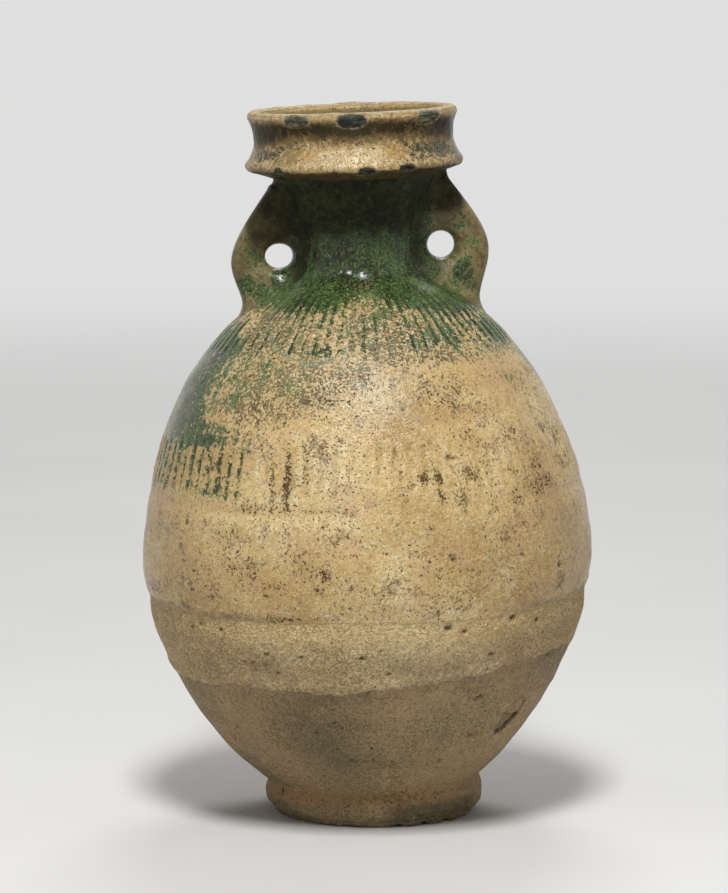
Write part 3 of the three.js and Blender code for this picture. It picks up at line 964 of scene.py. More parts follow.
def make_foot(material):
    shoulder = (FOOT_SIDE_RADIUS, 0.62 * FOOT_HEIGHT)
    side = chain(
        bezier([
            (FOOT_BASE_RADIUS, 0),
            (FOOT_BASE_RADIUS + 2.6, 0.6 * FOOT_BEVEL),
            (FOOT_SIDE_RADIUS, FOOT_BEVEL),
            shoulder,
        ]),
        bezier([
            shoulder,
            (FOOT_SIDE_RADIUS, 0.82 * FOOT_HEIGHT),
            (FOOT_JOINT_RADIUS - 0.5, 0.93 * FOOT_HEIGHT),
            (FOOT_JOINT_RADIUS, FOOT_HEIGHT),
        ]),
    )
    under = [(r, 0) for r in np.linspace(0, FOOT_BASE_RADIUS - 0.7, 18)]
    top = [(r, FOOT_HEIGHT) for r in np.linspace(FOOT_JOINT_RADIUS - 1.5, 0, 10)]
    profile = np.vstack([under, resample(side, 34), top])
    piece, radius, angle, height = throw("foot_disc", profile, material, steps=560)
    outside = outer(radius, height, side, 1.2)
    run = height * 1.15
    rough = wave_noise(angle, run, 9, 31) * 0.35 + wave_noise(angle, run, 3.5, 32) * 0.16
    ragged = smooth_step(height, 7.5, 1.0)
    trimmed = -0.9 * ragged * smooth_step(wave_noise(angle, run * 0.2, 17, 33), -0.2, 0.9)
    nicks = 0 * angle
    for centre, level, half_wide, half_high, tilt, bite in FOOT_NICKS:
        aside = turned_from(angle, centre) * FOOT_SIDE_RADIUS
        across, climb = rotated(aside, height - level, -math.radians(tilt))
        nicked = 1 - smooth_step(np.hypot(across / half_wide, climb / half_high), 0.4, 1.2)
        nicks = np.maximum(nicks, bite * nicked)
    ends = smooth_step(FOOT_HEIGHT - height, 0, 2.5)
    press(piece, outside * ends * (rough * (0.3 + 0.7 * ragged) + trimmed - nicks))
    sandy(piece, outside * (0.1 + 0.28 * ragged), 34)
    soot = 0 * angle
    for centre, reach in FOOT_SOOT:
        turn = np.abs((np.degrees(angle) - centre + 180) % 360 - 180)
        soot = np.maximum(soot, 1 - smooth_step(turn, reach - 10, reach + 6))
    give(
        piece,
        soot=1.6 * outside * soot * (1 - smooth_step(height, 6.5, 11)),
        # Dirt and painted shade in the nicks.
        hole=outside * np.clip(nicks * 1.3, 0, 1) * smooth_step(height, 3, 5),
        rubbed=outside * smooth_step(height, 3.2, 0.8),
        flush=outside * smooth_step(height, 5, 9) * (0.6 + 0.4 * np.cos(angle - math.radians(-135))),
    )
    level_base(piece)
    dress(piece, "foot")


def level_base(piece):
    """Stretches the foot's lower part so that its underside lies in the table's plane once the pot leans."""
    points = points_of(piece)
    aside = points[:, 0] + sway(points[:, 2])
    points[:, 2] -= aside * math.tan(LEAN) * np.clip(1 - points[:, 2] / FOOT_HEIGHT, 0, 1)
    move_points(piece, points)


def make_lower_body(material):
    outside = stretch(BODY, FOOT_HEIGHT, SEAM_HEIGHT, 104)
    outside[:, 0] -= LEDGE * smooth_step(outside[:, 1], SEAM_HEIGHT - 9, SEAM_HEIGHT - 1)
    floor_top = FOOT_HEIGHT + FLOOR_THICKNESS
    floor_end = floor_top + FLOOR_CORNER * (1 - math.sqrt(0.5))
    inside = stretch(BODY_INSIDE, floor_end, SEAM_HEIGHT - SEAM_BEVEL, 8)
    under = [(0, FOOT_HEIGHT), (20, FOOT_HEIGHT)]
    floor = [(inside[0][0] - FLOOR_CORNER * math.sqrt(0.5), floor_top), (0, floor_top)]
    profile = np.vstack([under, outside, inside[::-1], floor])
    piece, radius, angle, height = throw(
        "belly_lower_half", profile, material, steps=756, spacing=9.0, depth=0.07,
    )
    on_wall = outer(radius, height, outside)
    run = run_at(height)
    edge = run_at(slip_edge(angle)) + 0.5 * wave_noise(angle, run * 0, 6, 46)
    layer = smooth_step(run - edge, -0.5, 1.1)
    uneven = wave_noise(angle, run, 42, 41) * 0.32 + wave_noise(angle, run, 13, 42) * 0.11
    depth, broken = lozenge_chip(angle, run, wave_noise(angle, run, 3.5, 45))
    places = LOWER_PITS + scattered(47, 24, 18, 75)
    pits = strongest(angle, run, 0.5, [(a, h, s, 0.75 * s) for a, h, s in places])
    # Dirt and painted shade in the pits, set a little above each pit's middle, where its upper wall is
    # shaded.
    darks = strongest(angle, run, 0.5, [(a, h + 0.2 * s, 0.95 * s, 0.68 * s) for a, h, s in places])
    rims = strongest(angle, run, 0.6, [(a, h, 1.9 * s, 1.6 * s) for a, h, s in places])
    ends = smooth_step(height - FOOT_HEIGHT, 0, 3) * smooth_step(SEAM_HEIGHT - height, 0, 9)
    slip = SLIP_THICKNESS * layer + 0.3 * hump(run - edge, 1.8, 2.2)
    press(piece, on_wall * (ends * (slip + uneven) - depth - 0.9 * pits + 0.2 * rims * ends))
    sandy(piece, on_wall * (0.09 + 0.08 * layer) * smooth_step(SEAM_HEIGHT - height, 0, 3), 43)
    shift_heights(piece, smooth_step(height, SEAM_HEIGHT - 9, SEAM_HEIGHT - 1))
    glazed_edge = smooth_step(height, SEAM_HEIGHT - 15, SEAM_HEIGHT - 3) * (1.15 - 0.8 * ledge_share(angle))
    give(
        piece,
        slip=layer,
        soot=strongest(angle, run, 0.9, CLAY_SOOT) * (1 - 0.6 * layer),
        hole=darks * on_wall,
        # The broken clay of the lozenge chip, with painted shadow on its rim.
        worn=broken * on_wall,
        glaze=glazed_edge * on_wall,
    )
    dress(piece, "lower_body")


def lozenge_chip(angle, run, unevenness):
    """A flat chip low on the right, a dark-edged pit with a pale facet above it: its depth and darkness, the
    pit's rim darkened partly as painted shadow.
    """
    side, climb = away(angle, run, *CHIP_MIDDLE)

    def within(corners):
        places = np.array([away(math.radians(a), run_at(h), *CHIP_MIDDLE) for a, h in corners])
        edge, inside = distance_to_outline(side + 0.15 * unevenness, climb, places)
        return np.where(inside, edge, -edge)

    pit, facet = within(CHIP_PIT), within(CHIP_FACET)
    floor = smooth_step(pit, -0.3, 0.7)
    # Painted shadow: the pit's rim darkens most on its lower right.
    shadowed = smooth_step(side * 0.8 - climb * 0.5, -1.5, 2.5)
    rim = hump(pit, 0.5, 0.7) * (0.45 + 0.55 * shadowed)
    line = hump(facet, 0, 0.5) * smooth_step(climb, 1.5, 3.5)
    return 1.1 * floor + 0.45 * smooth_step(facet, -0.3, 0.4), np.clip(0.4 * floor + rim + 0.85 * line, 0, 1)


def shift_heights(piece, ledge):
    """Moves the wall near the seam, so that both halves follow the ledge's wandering line, and fills up the
    ledge where it was wiped away."""
    points = points_of(piece)
    angle = np.arctan2(points[:, 1], points[:, 0])
    share = smooth_step(SEAM_REACH - np.abs(points[:, 2] - SEAM_HEIGHT), 0, SEAM_REACH)
    widen(points, LEDGE * (1 - ledge_share(angle)) * ledge)
    climb = ledge_wander(angle) * share
    widen(points, radius_at(points[:, 2] + climb) - radius_at(points[:, 2]))
    points[:, 2] += climb
    move_points(piece, points)


def make_upper_body(material):
    above_seam = SEAM_HEIGHT + 3
    outside = chain(stretch(BODY, SEAM_HEIGHT, above_seam, 7), stretch(BODY, above_seam, SHOULDER_HEIGHT, 92))
    outside[:, 0] -= LEDGE * (1 - smooth_step(outside[:, 1], SEAM_HEIGHT - 0.8, SEAM_HEIGHT + 2.6))
    inside = stretch(BODY_INSIDE, SEAM_HEIGHT - SEAM_BEVEL, BODY_INSIDE[-1][1], 10)
    profile = np.vstack([outside, inside[::-1], [outside[0]]])
    piece, radius, angle, height = throw(
        "belly_upper_half", profile, material, steps=864, spacing=12.0, depth=0.06,
    )
    line = np.vstack([[(BELLY_RADIUS, SEAM_HEIGHT - 1)], BODY[BODY[:, 1] > SEAM_HEIGHT]])
    on_wall = outer(radius, height, line, 1.6)
    run = run_at(height)
    fade = smooth_step(SHOULDER_HEIGHT - height, 0, 8) * smooth_step(height - SEAM_HEIGHT, 0, 7)
    uneven = wave_noise(angle, run, 48, 51) * 0.30 + wave_noise(angle, run, 14, 52) * 0.09
    bands = 0.22 * hump(height, 112, 3.5) - 0.18 * hump(height, 117.5, 1.6) \
        - 0.25 * hump(height, 147, 5) + 0.2 * hump(height, 157, 5)
    places = UPPER_PITS + scattered(57, 20, 84, 180)
    pits = strongest(angle, run, 0.5, [(a, h, size, 0.8 * size) for a, h, size in places])
    press(piece, on_wall * (fade * (uneven + bands) - 0.45 * pits))
    share = ledge_share(angle)
    wiped = smooth_step(height, SEAM_HEIGHT + 9, SEAM_HEIGHT + 1) * smooth_step(share, 0.5, 0.15)
    sandy(piece, on_wall * (0.022 + 0.06 * wiped * smooth_step(height - SEAM_HEIGHT, 0, 3)), 59)
    give(piece, turn=angle, rise=height, sound=on_wall, groove=0 * angle)
    for strokes, start, low, high, depth, stroke_share, seed in COMB_BANDS:
        run_tree(piece, COMB, {
            "Strokes Round": float(strokes),
            "Start": start,
            "Band Low": low,
            "Band High": high,
            "Stroke Depth": depth * MM,
            "Stroke Share": stroke_share,
            "Seed": seed,
            "Material": material,
        })
    bare_edge = 1 - smooth_step(height - SEAM_HEIGHT - 0.7 * wave_noise(angle, run * 0, 9, 58), 0.3, 3.4)
    give_streaks(piece, angle, height)
    give(
        piece,
        green=green_splash(angle, height),
        seep=seep(angle, height),
        run=pale_run(angle, height),
        stain=strongest(angle, run, 0.8, STAINS),
        bloom=np.maximum(strongest(angle, run, 0.9, BLOOM), 0.4 * wiped),
        grime=grime(angle, height),
        tan=strongest(angle, run, 0.95, TAN_BANDS),
        # Dirt and painted shade in the pits.
        hole=pits * on_wall,
        # Painted shade inside the pot.
        inside=1 - on_wall,
        thin=bare_edge * smooth_step(share, 0.3, 0.7) * on_wall,
    )
    shift_heights(piece, 1 - smooth_step(height, SEAM_HEIGHT - 0.8, SEAM_HEIGHT + 2.6))
    dress(piece, "upper_body")


def make_neck(material):
    outside = stretch(NECK, SHOULDER_HEIGHT, DISH_HEIGHT, 52)
    inside = stretch(NECK_INSIDE, SHOULDER_HEIGHT - NECK_WALL, DISH_HEIGHT + NECK_WALL, 26)
    profile = np.vstack([[inside[0]], outside, inside[::-1]])
    piece, radius, angle, height = throw("neck_funnel", profile, material, steps=320, spacing=7.0, depth=0.06)
    on_wall = outer(radius, height, outside)
    run = run_at(height)
    ends = smooth_step(height - SHOULDER_HEIGHT, 0, 5) * smooth_step(DISH_HEIGHT - height, 0, 4)
    uneven = wave_noise(angle, run, 24, 61) * 0.24 + wave_noise(angle, run, 8, 62) * 0.07
    press(piece, on_wall * ends * uneven)
    give_streaks(piece, angle, height)
    give(
        piece,
        green=green_splash(angle, height) * on_wall,
        # Painted shade inside the neck.
        inside=1 - on_wall,
        # Dark olive up the neck: green-brown glaze, with painted shade under the dish.
        olive=smooth_step(height + 1.8 * wave_noise(angle, run, 18, 63), 199, 214) * on_wall,
        seep=seep(angle, height),
        grime=grime(angle, height),
    )
    dress(piece, "neck")


def make_dish(material):
    lip_centre = (LIP_RADIUS - LIP_ROLL, LIP_HEIGHT)
    wall_radius = LIP_RADIUS - DISH_WALL
    inside = chain(
        bezier([
            NECK_INSIDE[-1],
            (wall_radius - 0.4 * DISH_WALL, FLANGE_HEIGHT),
            (wall_radius - 0.2 * DISH_WALL, DISH_WAIST_HEIGHT),
        ]),
        [(wall_radius, LIP_HEIGHT - LIP_ROLL)],
        [(lip_centre[0] - LIP_ROLL, LIP_HEIGHT)],
    )
    outside = resample(DISH, 62)
    roll = arc(lip_centre, LIP_ROLL, 0, 180, 14)
    profile = np.vstack([outside, roll[1:], resample(inside, 26)[::-1][1:], [outside[0]]])
    piece, radius, angle, height = throw(
        "mouth_dish_and_flange", profile, material, steps=540, spacing=5.0, depth=0.03,
    )
    on_wall = outer(radius, height, DISH, 2.4)
    run = run_at(height, radius)
    ends = smooth_step(height - DISH_HEIGHT, 0, 3)
    uneven = wave_noise(angle, run, 26, 71) * 0.28 + wave_noise(angle, run, 7, 72) * 0.07
    torn = wave_noise(angle, run, 2.6, 73)
    lip, flange = (chips(angle, run, places, torn) for places in (LIP_CHIPS, FLANGE_CHIPS))
    press(piece, on_wall * (ends * uneven - lip[0] - flange[0]))
    # The dark band below the lip: brown-olive glaze pooled there, with painted shade under the lip's roll,
    # widened on the dish's sides as painted shade away from the front.
    shy = smooth_step(np.abs(np.sin(angle) + 1), 0.15, 0.5)
    waist = smooth_step(height, DISH_WAIST_HEIGHT - 1.8 - 3 * shy, DISH_WAIST_HEIGHT + 4.5 - 2 * shy) \
        * smooth_step(height, LIP_HEIGHT + 0.6, LIP_HEIGHT - 2.6)
    # A dull olive tone over the dish, with painted shade: darker on its sides than at the front, and darker
    # under the flange.
    front_light = hump(from_front(angle), 0, 34)
    under_flange = smooth_step(height, FLANGE_HEIGHT - 0.6, FLANGE_HEIGHT - 2.2)
    aged = np.clip(0.95 - 0.6 * front_light * smooth_step(height, 241, 237) + 0.3 * under_flange, 0, 1)
    # Painted highlight on the front of the flange's slope.
    bloom = 0.65 * front_light * smooth_step(height, 240, 236) * smooth_step(height, 230, 232.5)
    give_streaks(piece, angle, height)
    give(
        piece,
        specks=strongest(angle, run, 0.45, DISH_SPECKS),
        ochre=strongest(angle, run, 0.7, DISH_OCHRE),
        worn=np.maximum(lip[1], flange[1]) * on_wall,
        char=np.maximum(lip[2], flange[2]),
        stain=1.3 * strongest(angle, run, 0.5, DISH_STAINS),
        bruise=np.maximum(lip[3], 0.5 * flange[3]) * on_wall,
        # Painted shade inside the mouth, below the lip's top.
        inside=(1 - on_wall) * smooth_step(height, LIP_HEIGHT + 1.6, LIP_HEIGHT - 1),
        waist=waist * on_wall,
        aged=(1 - 0.45 * smooth_step(height, 244.5, 247)) * on_wall * aged,
        bloom=bloom * on_wall,
        # Painted shade under the flange's edge, in the dark olive.
        olive=smooth_step(height, FLANGE_HEIGHT, FLANGE_HEIGHT - 2.2) * on_wall,
        thin=smooth_step(height, 248.4, 249.8),
    )
    dress(piece, "mouth_dish")


# Ears, shaped as solid clay in a grid of distances, so that they can be pinched and luted on smoothly

def distance_to_outline(points_x, points_y, outline, closed=True):
    """Unsigned distance from points to a polyline, and whether they lie inside it if it is closed."""
    best = np.full(points_x.shape, 1e9)
    inside = np.zeros(points_x.shape, bool)
    ends = np.roll(outline, -1, axis=0) if closed else outline[1:]
    for (ax, ay), (bx, by) in zip(outline[: len(ends)], ends):
        dx, dy = bx - ax, by - ay
        share = np.clip(((points_x - ax) * dx + (points_y - ay) * dy) / (dx * dx + dy * dy), 0, 1)
        best = np.minimum(best, np.hypot(points_x - ax - share * dx, points_y - ay - share * dy))
        crossing = (ay > points_y) != (by > points_y)
        if dy != 0:
            inside ^= crossing & (points_x < ax + (points_y - ay) * dx / dy)
    return best, inside


def blend_together(first, second, width):
    """The union of two shapes with a fillet of about this width."""
    share = np.maximum(width - np.abs(first - second), 0) / width
    return np.minimum(first, second) - share * share * width / 4


def surface_of(field, low, step):
    """The zero surface of a grid of distances as points and four-sided faces."""
    inside = field < 0
    cells = tuple(n - 1 for n in field.shape)
    corners = np.array(list(np.ndindex(2, 2, 2)))
    corner_sets = [tuple(slice(o, o + n) for o, n in zip(corner, cells)) for corner in corners]
    signs = np.stack([inside[c] for c in corner_sets])
    crossed = signs.any(0) & ~signs.all(0)
    values = np.stack([field[c] for c in corner_sets])[:, crossed]
    where = np.argwhere(crossed)
    number = np.full(cells, -1)
    number[crossed] = np.arange(len(where))
    total, count = np.zeros((len(where), 3)), np.zeros(len(where))
    for a in range(8):
        for b in range(a + 1, 8):
            if np.abs(corners[a] - corners[b]).sum() != 1:
                continue
            cut = (values[a] < 0) != (values[b] < 0)
            share = np.where(cut, values[a] / np.where(cut, values[a] - values[b], 1), 0)[:, None]
            total += np.where(cut[:, None], corners[a] + share * (corners[b] - corners[a]), 0)
            count += cut
    points = (where + total / count[:, None]) * step + low
    faces = []
    for axis in range(3):
        others = [k for k in range(3) if k != axis]
        first = tuple(slice(1, -1) if k in others else slice(None, -1) for k in range(3))
        second = tuple(slice(1, -1) if k in others else slice(1, None) for k in range(3))
        for flip in (False, True):
            edge = (inside[first] & ~inside[second]) if flip else (~inside[first] & inside[second])
            spots = np.argwhere(edge)
            spots[:, others] += 1
            loop = []
            for back in ((0, 0), (1, 0), (1, 1), (0, 1)):
                cell = spots.copy()
                cell[:, others] -= back
                loop.append(number[tuple(cell.T)])
            loop = np.column_stack(loop)
            faces.append(loop[:, ::-1] if flip == (axis != 1) else loop)
    return points, np.vstack(faces)


def ear_outline(lift):
    """The ear's outline in its own plane: distance from the axis, and height."""
    root = 0.5 * NECK_WAIST_RADIUS
    top = np.array([EAR_TOP_REACH, min(DISH_HEIGHT - EAR_TOP_DROP + lift, DISH_HEIGHT - LUTING_GAP)])
    widest = np.array([EAR_REACH, SHOULDER_HEIGHT + lift + EAR_REACH_RISE])
    above = BODY[BODY[:, 1] > BELLY_HEIGHT]
    foot = np.array([EAR_FOOT_REACH, np.interp(-EAR_FOOT_REACH, -above[:, 0], above[:, 1])])
    upper = bezier([
        top,
        top + (widest - top) * (0.45, 0.35),
        (widest[0], top[1] + 0.7 * (widest[1] - top[1])),
        widest,
    ], 18)
    lower = bezier([
        widest,
        (widest[0], widest[1] + 0.35 * (foot[1] - widest[1])),
        (foot[0], widest[1] + 0.6 * (foot[1] - widest[1])),
        foot,
    ], 18)
    below = foot[1] - EAR_ROOT_THICKNESS
    return chain([(root, top[1])], upper, lower, [(foot[0], below), (root, below)])


def ear_slab(reach, across, height, edge, lift, eye, seed):
    """Distances to the slab: thick at the root, pinched towards the rim, and thumbed hollow round its eye."""
    eye_wide, eye_high, eye_lift = eye
    eye_height = SHOULDER_HEIGHT + lift + EAR_EYE_RISE + eye_lift
    from_eye = np.hypot(reach - EAR_EYE_REACH, (height - eye_height) * eye_wide / eye_high)
    share = smooth_step(reach, NECK_WAIST_RADIUS, EAR_REACH)
    half = 0.5 * (EAR_ROOT_THICKNESS + (EAR_RIM_THICKNESS - EAR_ROOT_THICKNESS) * share)
    half = half - EAR_HOLLOW * np.exp(-((from_eye / EAR_HOLLOW_REACH) ** 4))
    half = half + 0.18 * np.sin(0.31 * reach + 0.23 * height + seed)
    half = half + 0.1 * np.sin(0.8 * height - 0.7 * reach + 2 * seed)
    beyond_edge, beyond_face = edge + EAR_ROUNDING, np.abs(across) - half + EAR_ROUNDING
    corner = np.hypot(np.maximum(beyond_edge, 0), np.maximum(beyond_face, 0))
    slab = np.minimum(np.maximum(beyond_edge, beyond_face), 0) + corner - EAR_ROUNDING
    return -blend_together(-slab, from_eye - eye_wide, EAR_FILLET)


def make_ear(name, node, turn, lift, seed, eye, blotches, flush, smoky, material):
    turn = math.radians(turn)
    low = np.array([12.0, -11.0, SHOULDER_HEIGHT - 17.0])
    high = np.array([48.5, 11.0, DISH_HEIGHT + 4.5])
    axes = [np.arange(low[k], high[k], EAR_GRID_STEP) for k in range(3)]
    reach, across, height = np.meshgrid(*axes, indexing="ij")
    edge, within = distance_to_outline(reach[:, 0], height[:, 0], ear_outline(lift))
    edge = np.where(within, -edge, edge)[:, None, :]
    ear = ear_slab(reach, across, height, edge, lift, eye, seed)

    # The neighbours it is luted to
    x, y = rotated(reach, across, turn)
    radius = np.hypot(x + EARS_ASIDE, y)
    line = OUTSIDE[(OUTSIDE[:, 1] > SHOULDER_HEIGHT - 24) & (OUTSIDE[:, 1] < DISH_HEIGHT + 10)][::6]
    gap, _ = distance_to_outline(radius, height, line, closed=False)
    wall = np.where(radius < radius_at(height), -gap, gap)
    joined = blend_together(ear, wall + 0.45, EAR_FILLET)
    clay_field = np.maximum(np.maximum(joined, -(wall + 1.0)), ear - 7.0)

    points, faces = surface_of(clay_field, low, EAR_GRID_STEP)
    x, y = rotated(points[:, 0], points[:, 1], turn)
    x = x + EARS_ASIDE
    mesh = bpy.data.meshes.new(name)
    mesh.from_pydata((np.column_stack([x, y, points[:, 2]]) * MM).tolist(), [], faces.tolist())
    mesh.validate()
    piece = new_object(name, mesh)
    face_outwards(piece)
    mesh.materials.append(material)
    mesh.polygons.foreach_set("use_smooth", [True] * len(mesh.polygons))
    radius, angle, height = wall_places(piece)
    reach = np.abs(rotated(x, y, -turn)[0])
    green = 0.41 + 0.4 * smooth_step(reach, 29, 22)
    for reach_at, height_at, size, strength in blotches:
        near = np.hypot(reach - reach_at, height - SHOULDER_HEIGHT - lift - height_at)
        green = np.maximum(green, strength * (1 - smooth_step(near, 0.5 * size, 1.4 * size)))
    # Painted shadow: each ear darkens towards its top under the dish, and painted shade darkens it towards
    # the neck.
    from_height, to_height, everywhere = smoky
    smoke = smooth_step(height, from_height, to_height) * smooth_step(reach, 41, 36)
    give_streaks(piece, angle, height)
    give(
        piece,
        green=green,
        olive=np.maximum(smoke, 0.5 * smooth_step(reach, 27, 20)) + everywhere,
        buff=smooth_step(reach, 35, 40) * smooth_step(height, 219, 212) * flush,
        calm=np.ones(len(angle)),
    )
    dress(piece, node)


# Finishes

def bare_stoneware():
    """Unglazed clay: grey-buff where it is bare, sandy and paler where the slip covers it."""
    s = Surface(
        "bare stoneware and slip", wide=(55, 3), blotch=(15, 4, 0.6), patch=(6, 4, 0.65), grain=(2.0, 3, 0.6),
        sand=(0.95, 2, 0.6), dust=(0.6, 1),
    )
    n = s.noises
    slip = s.torn("slip", 0.2, 0.8, patch=0.9, blotch=0.5, grain=0.8)
    gritty = s.times(s.blend(slip, 0.55, 0.9), s.weigh(sand=0.55, dust=0.85))
    mottle = s.add(s.cloud(wide=0.4, blotch=0.2, patch=0.12, grain=0.1), gritty)
    clay_tone = s.ramp(
        mottle, (0.40, 112, 97, 70), (0.47, 139, 121, 88), (0.54, 156, 136, 100), (0.61, 176, 154, 113),
    )
    slip_tone = s.ramp(
        mottle, (0.38, 190, 161, 112), (0.47, 226, 195, 143), (0.54, 240, 212, 160), (0.63, 249, 229, 184),
    )
    s.tone = s.mix(slip, clay_tone, slip_tone)
    warm = s.range(s.add(s.noise(30, 3), s.weigh(patch=0.5)), 0.5, 0.64)
    s.coat(warm, (186, 148, 108), s.blend(slip, 0.28, 0.4))
    soot = s.torn("soot", 0.2, 0.6, 0.6, blotch=0.7, patch=0.8, grain=0.9)
    s.coat(soot, (86, 79, 58), s.range(s.area("soot"), 0.8, 1.6, 0.3, 0.75))
    s.coat(s.torn("flush", 0.35, 1.0, patch=1.0, blotch=1.0, grain=0.5), (186, 140, 92), 0.4)
    glaze = s.torn("glaze", 0.2, 0.8, blotch=1.2, patch=1.0, grain=0.8)
    s.coat(glaze, s.ramp(mottle, (0.38, 200, 169, 114), (0.5, 228, 199, 142), (0.63, 242, 219, 168)), 0.85)
    rubbed = s.torn("rubbed", 0.4, 0.7, patch=1.5, grain=0.8)
    s.coat(rubbed, (176, 160, 126), 0.6)
    crowd = s.add(s.range(n["blotch"], 0.42, 0.62, 0.1, 0.6), s.times(s.area("soot"), 0.35))
    holes = s.most(s.pits(2.4, 0.78, crowd), s.pits(9.0, 1.2, 0.25))
    flecks = s.range(s.add(s.noise(1.2, 3, 0.7), s.weigh(blotch=0.8)), 0.585, 0.62)
    s.coat(flecks, (84, 68, 46), s.blend(slip, 0.5, 0.3))
    s.coat(holes, (62, 51, 36), s.blend(slip, 0.8, 0.55))
    # Dirt and painted shade in pits and nicks.
    s.coat(s.range(s.area("hole"), 0.4, 0.9), (66, 53, 34), 0.8)
    pebbles = s.cells(1.35, place=s.shaken(700.0, 0.0012))
    s.coat(s.range(pebbles, 0.45, 0.8), (118, 98, 62), s.blend(slip, 0.1, 0.2))
    worn = s.area("worn")
    s.coat(worn, s.ramp(s.add(n["grain"], s.times(worn, -0.2)), (0.26, 60, 50, 32), (0.42, 104, 92, 64)))
    grit = s.stack(sand=s.blend(slip, 0.6, 1.9), dust=s.blend(slip, 0.2, 1.6))
    height = s.add(
        s.times(s.blend(glaze, 1.0, 0.6), grit), s.stack(grain=0.5, patch=0.4),
        s.times(pebbles, s.blend(slip, -0.2, -0.45)), s.times(holes, -1.0), s.times(rubbed, n["grain"], 1.5),
    )
    return s.finish(s.range(n["grain"], 0.35, 0.65, 0.82, 0.6), height, 1.35, 0.3)


def glazed(name):
    """The start of a glaze: its noises, from wide clouds to dust, and the streaks in which it runs down."""
    s = Surface(
        name, wide=(60, 3), blotch=(16, 4, 0.6), patch=(6.5, 4, 0.65), grain=(2.2, 3, 0.6),
        fine=(0.85, 3, 0.6), speck=(1.35, 4, 0.72), dust=(0.5, 1),
    )
    s.noises["streaks"] = s.noise(1.9, 3, 0.6, place=s.area("streak", out="Vector"))
    return s


def straw(s):
    """Pale straw glaze, finely clouded, with flecks, pinholes and cracks. Gives back its brown specks."""
    n = s.noises
    mottle = s.cloud(wide=0.55, blotch=0.3, patch=0.22, grain=0.25, fine=0.6, dust=0.3)
    # The palest stop gives near-white flecks, painted glints.
    s.tone = s.ramp(
        mottle, (0.38, 162, 130, 78), (0.46, 190, 160, 104), (0.53, 203, 175, 119), (0.60, 215, 191, 139),
        (0.69, 232, 216, 174),
    )
    pinkish = s.add(s.noise(26, 3), s.times(s.area("seep"), 0.09), s.weigh(streaks=0.7, patch=0.5))
    s.coat(s.range(pinkish, 0.52, 0.68), (190, 149, 110), 0.4)
    # Brown bands, with painted shade in the hollow ring at 147.5 mm.
    s.coat(s.torn("tan", 0.15, 0.8, patch=1.0, blotch=0.8, grain=0.6), (164, 126, 76), 0.5)
    # Whitish bloom, with a painted highlight and painted glints on the shoulder's front.
    s.coat(s.torn("bloom", 0.14, 0.36, 0.36, grain=0.8, fine=1.6, patch=0.8), (222, 214, 186), 0.45)
    s.coat(s.torn("grime", 0.15, 0.6, 0.5, patch=1.2, blotch=0.8, grain=1.2), (134, 122, 86), 0.58)
    # Painted glints: near-white flecks over the glaze, more of them where the dirt lies.
    s.coat(s.torn("grime", 0.2, 0.34, 0.12, fine=-1.6, dust=-1.2, speck=-0.6), (228, 212, 170), 0.6)
    grit_tone = s.ramp(n["grain"], (0.4, 36, 42, 20), (0.6, 80, 72, 38))
    s.coat(s.torn("grime", 0.43, 0.51, 0.5, speck=2.0, fine=2.4, patch=1.0), grit_tone, 0.85)
    crazing = s.cracks(2.4, 0.12, s.shaken(420.0, 0.003))
    s.coat(crazing, (122, 96, 60), s.range(n["patch"], 0.42, 0.6, 0.05, 0.5))
    s.coat(s.range(n["speck"], 0.56, 0.66), (146, 114, 64), 0.3)
    crowd = s.cloud(blotch=1.6, wide=1.0, patch=0.6)
    flecks = s.range(s.add(s.noise(0.8, 2, 0.6), s.range(crowd, 0.4, 0.8, 0.0, 0.07)), 0.66, 0.69)
    s.coat(flecks, (90, 56, 12), 0.85)
    share = s.range(crowd, 0.45, 0.72, 0.03, 0.5)
    specks = s.most(s.pits(1.7, 0.6, share), s.pits(4.4, 0.9, s.times(share, 0.5)))
    s.coat(specks, (78, 48, 14), 0.85)
    s.coat(s.times(s.area("groove"), s.range(n["patch"], 0.42, 0.6)), (140, 108, 66), 0.3)
    s.coat(s.torn("stain", 0.25, 0.75, 0.6, patch=1.4, grain=1.4), (128, 100, 58), 0.24)
    stained = s.torn("stain", 0.66, 0.74, 0.95, speck=1.8, fine=3.2, dust=1.2, patch=0.6)
    s.coat(stained, s.ramp(n["grain"], (0.42, 40, 24, 6), (0.5, 58, 38, 12), (0.6, 92, 66, 30)), 0.9)
    return s.most(specks, s.times(flecks, 0.9), s.times(stained, 0.7))


def copper_green(s, base):
    """Copper green over the straw: it breaks up into flecks at its edge, and lies dark and deep in the comb
    strokes. Gives back how much of it there is."""
    green_area, seeped, groove = s.area("green"), s.area("seep"), s.area("groove")
    held = s.times(seeped, s.add(0.62, s.times(s.math("POWER", groove, 0.6), 0.5)))
    level = s.add(s.times(green_area, 1.6), held, base - 0.55)
    flecked = s.weigh(grain=2.2, speck=2.9, fine=1.8, streaks=1.7)
    reach = s.add(
        level, s.weigh(blotch=1.0, patch=1.9), s.times(s.blend(s.area("calm"), 1.0, 0.45), flecked),
    )
    present = s.range(s.add(green_area, seeped), 0.02, 0.3)
    green = s.times(present, s.range(reach, 0.38, 0.52, smooth=True))
    s.coat(present, (126, 124, 80), s.range(reach, -0.1, 0.42, 0.0, 0.42))
    deep = s.cloud(patch=0.5, grain=0.35, fine=0.9, blotch=0.5)
    green_tone = s.ramp(deep, (0.38, 18, 30, 16), (0.46, 34, 54, 27), (0.54, 52, 80, 40), (0.64, 88, 108, 60))
    s.coat(green, green_tone, 0.94)
    pale = s.range(s.cloud(fine=1.0, speck=0.7, patch=0.4), 0.6, 0.68)
    s.coat(s.times(pale, green), (140, 140, 92), s.range(level, 1.3, 0.5, 0.15, 0.8))
    s.coat(s.times(groove, green), (18, 30, 15), 0.5)
    return green


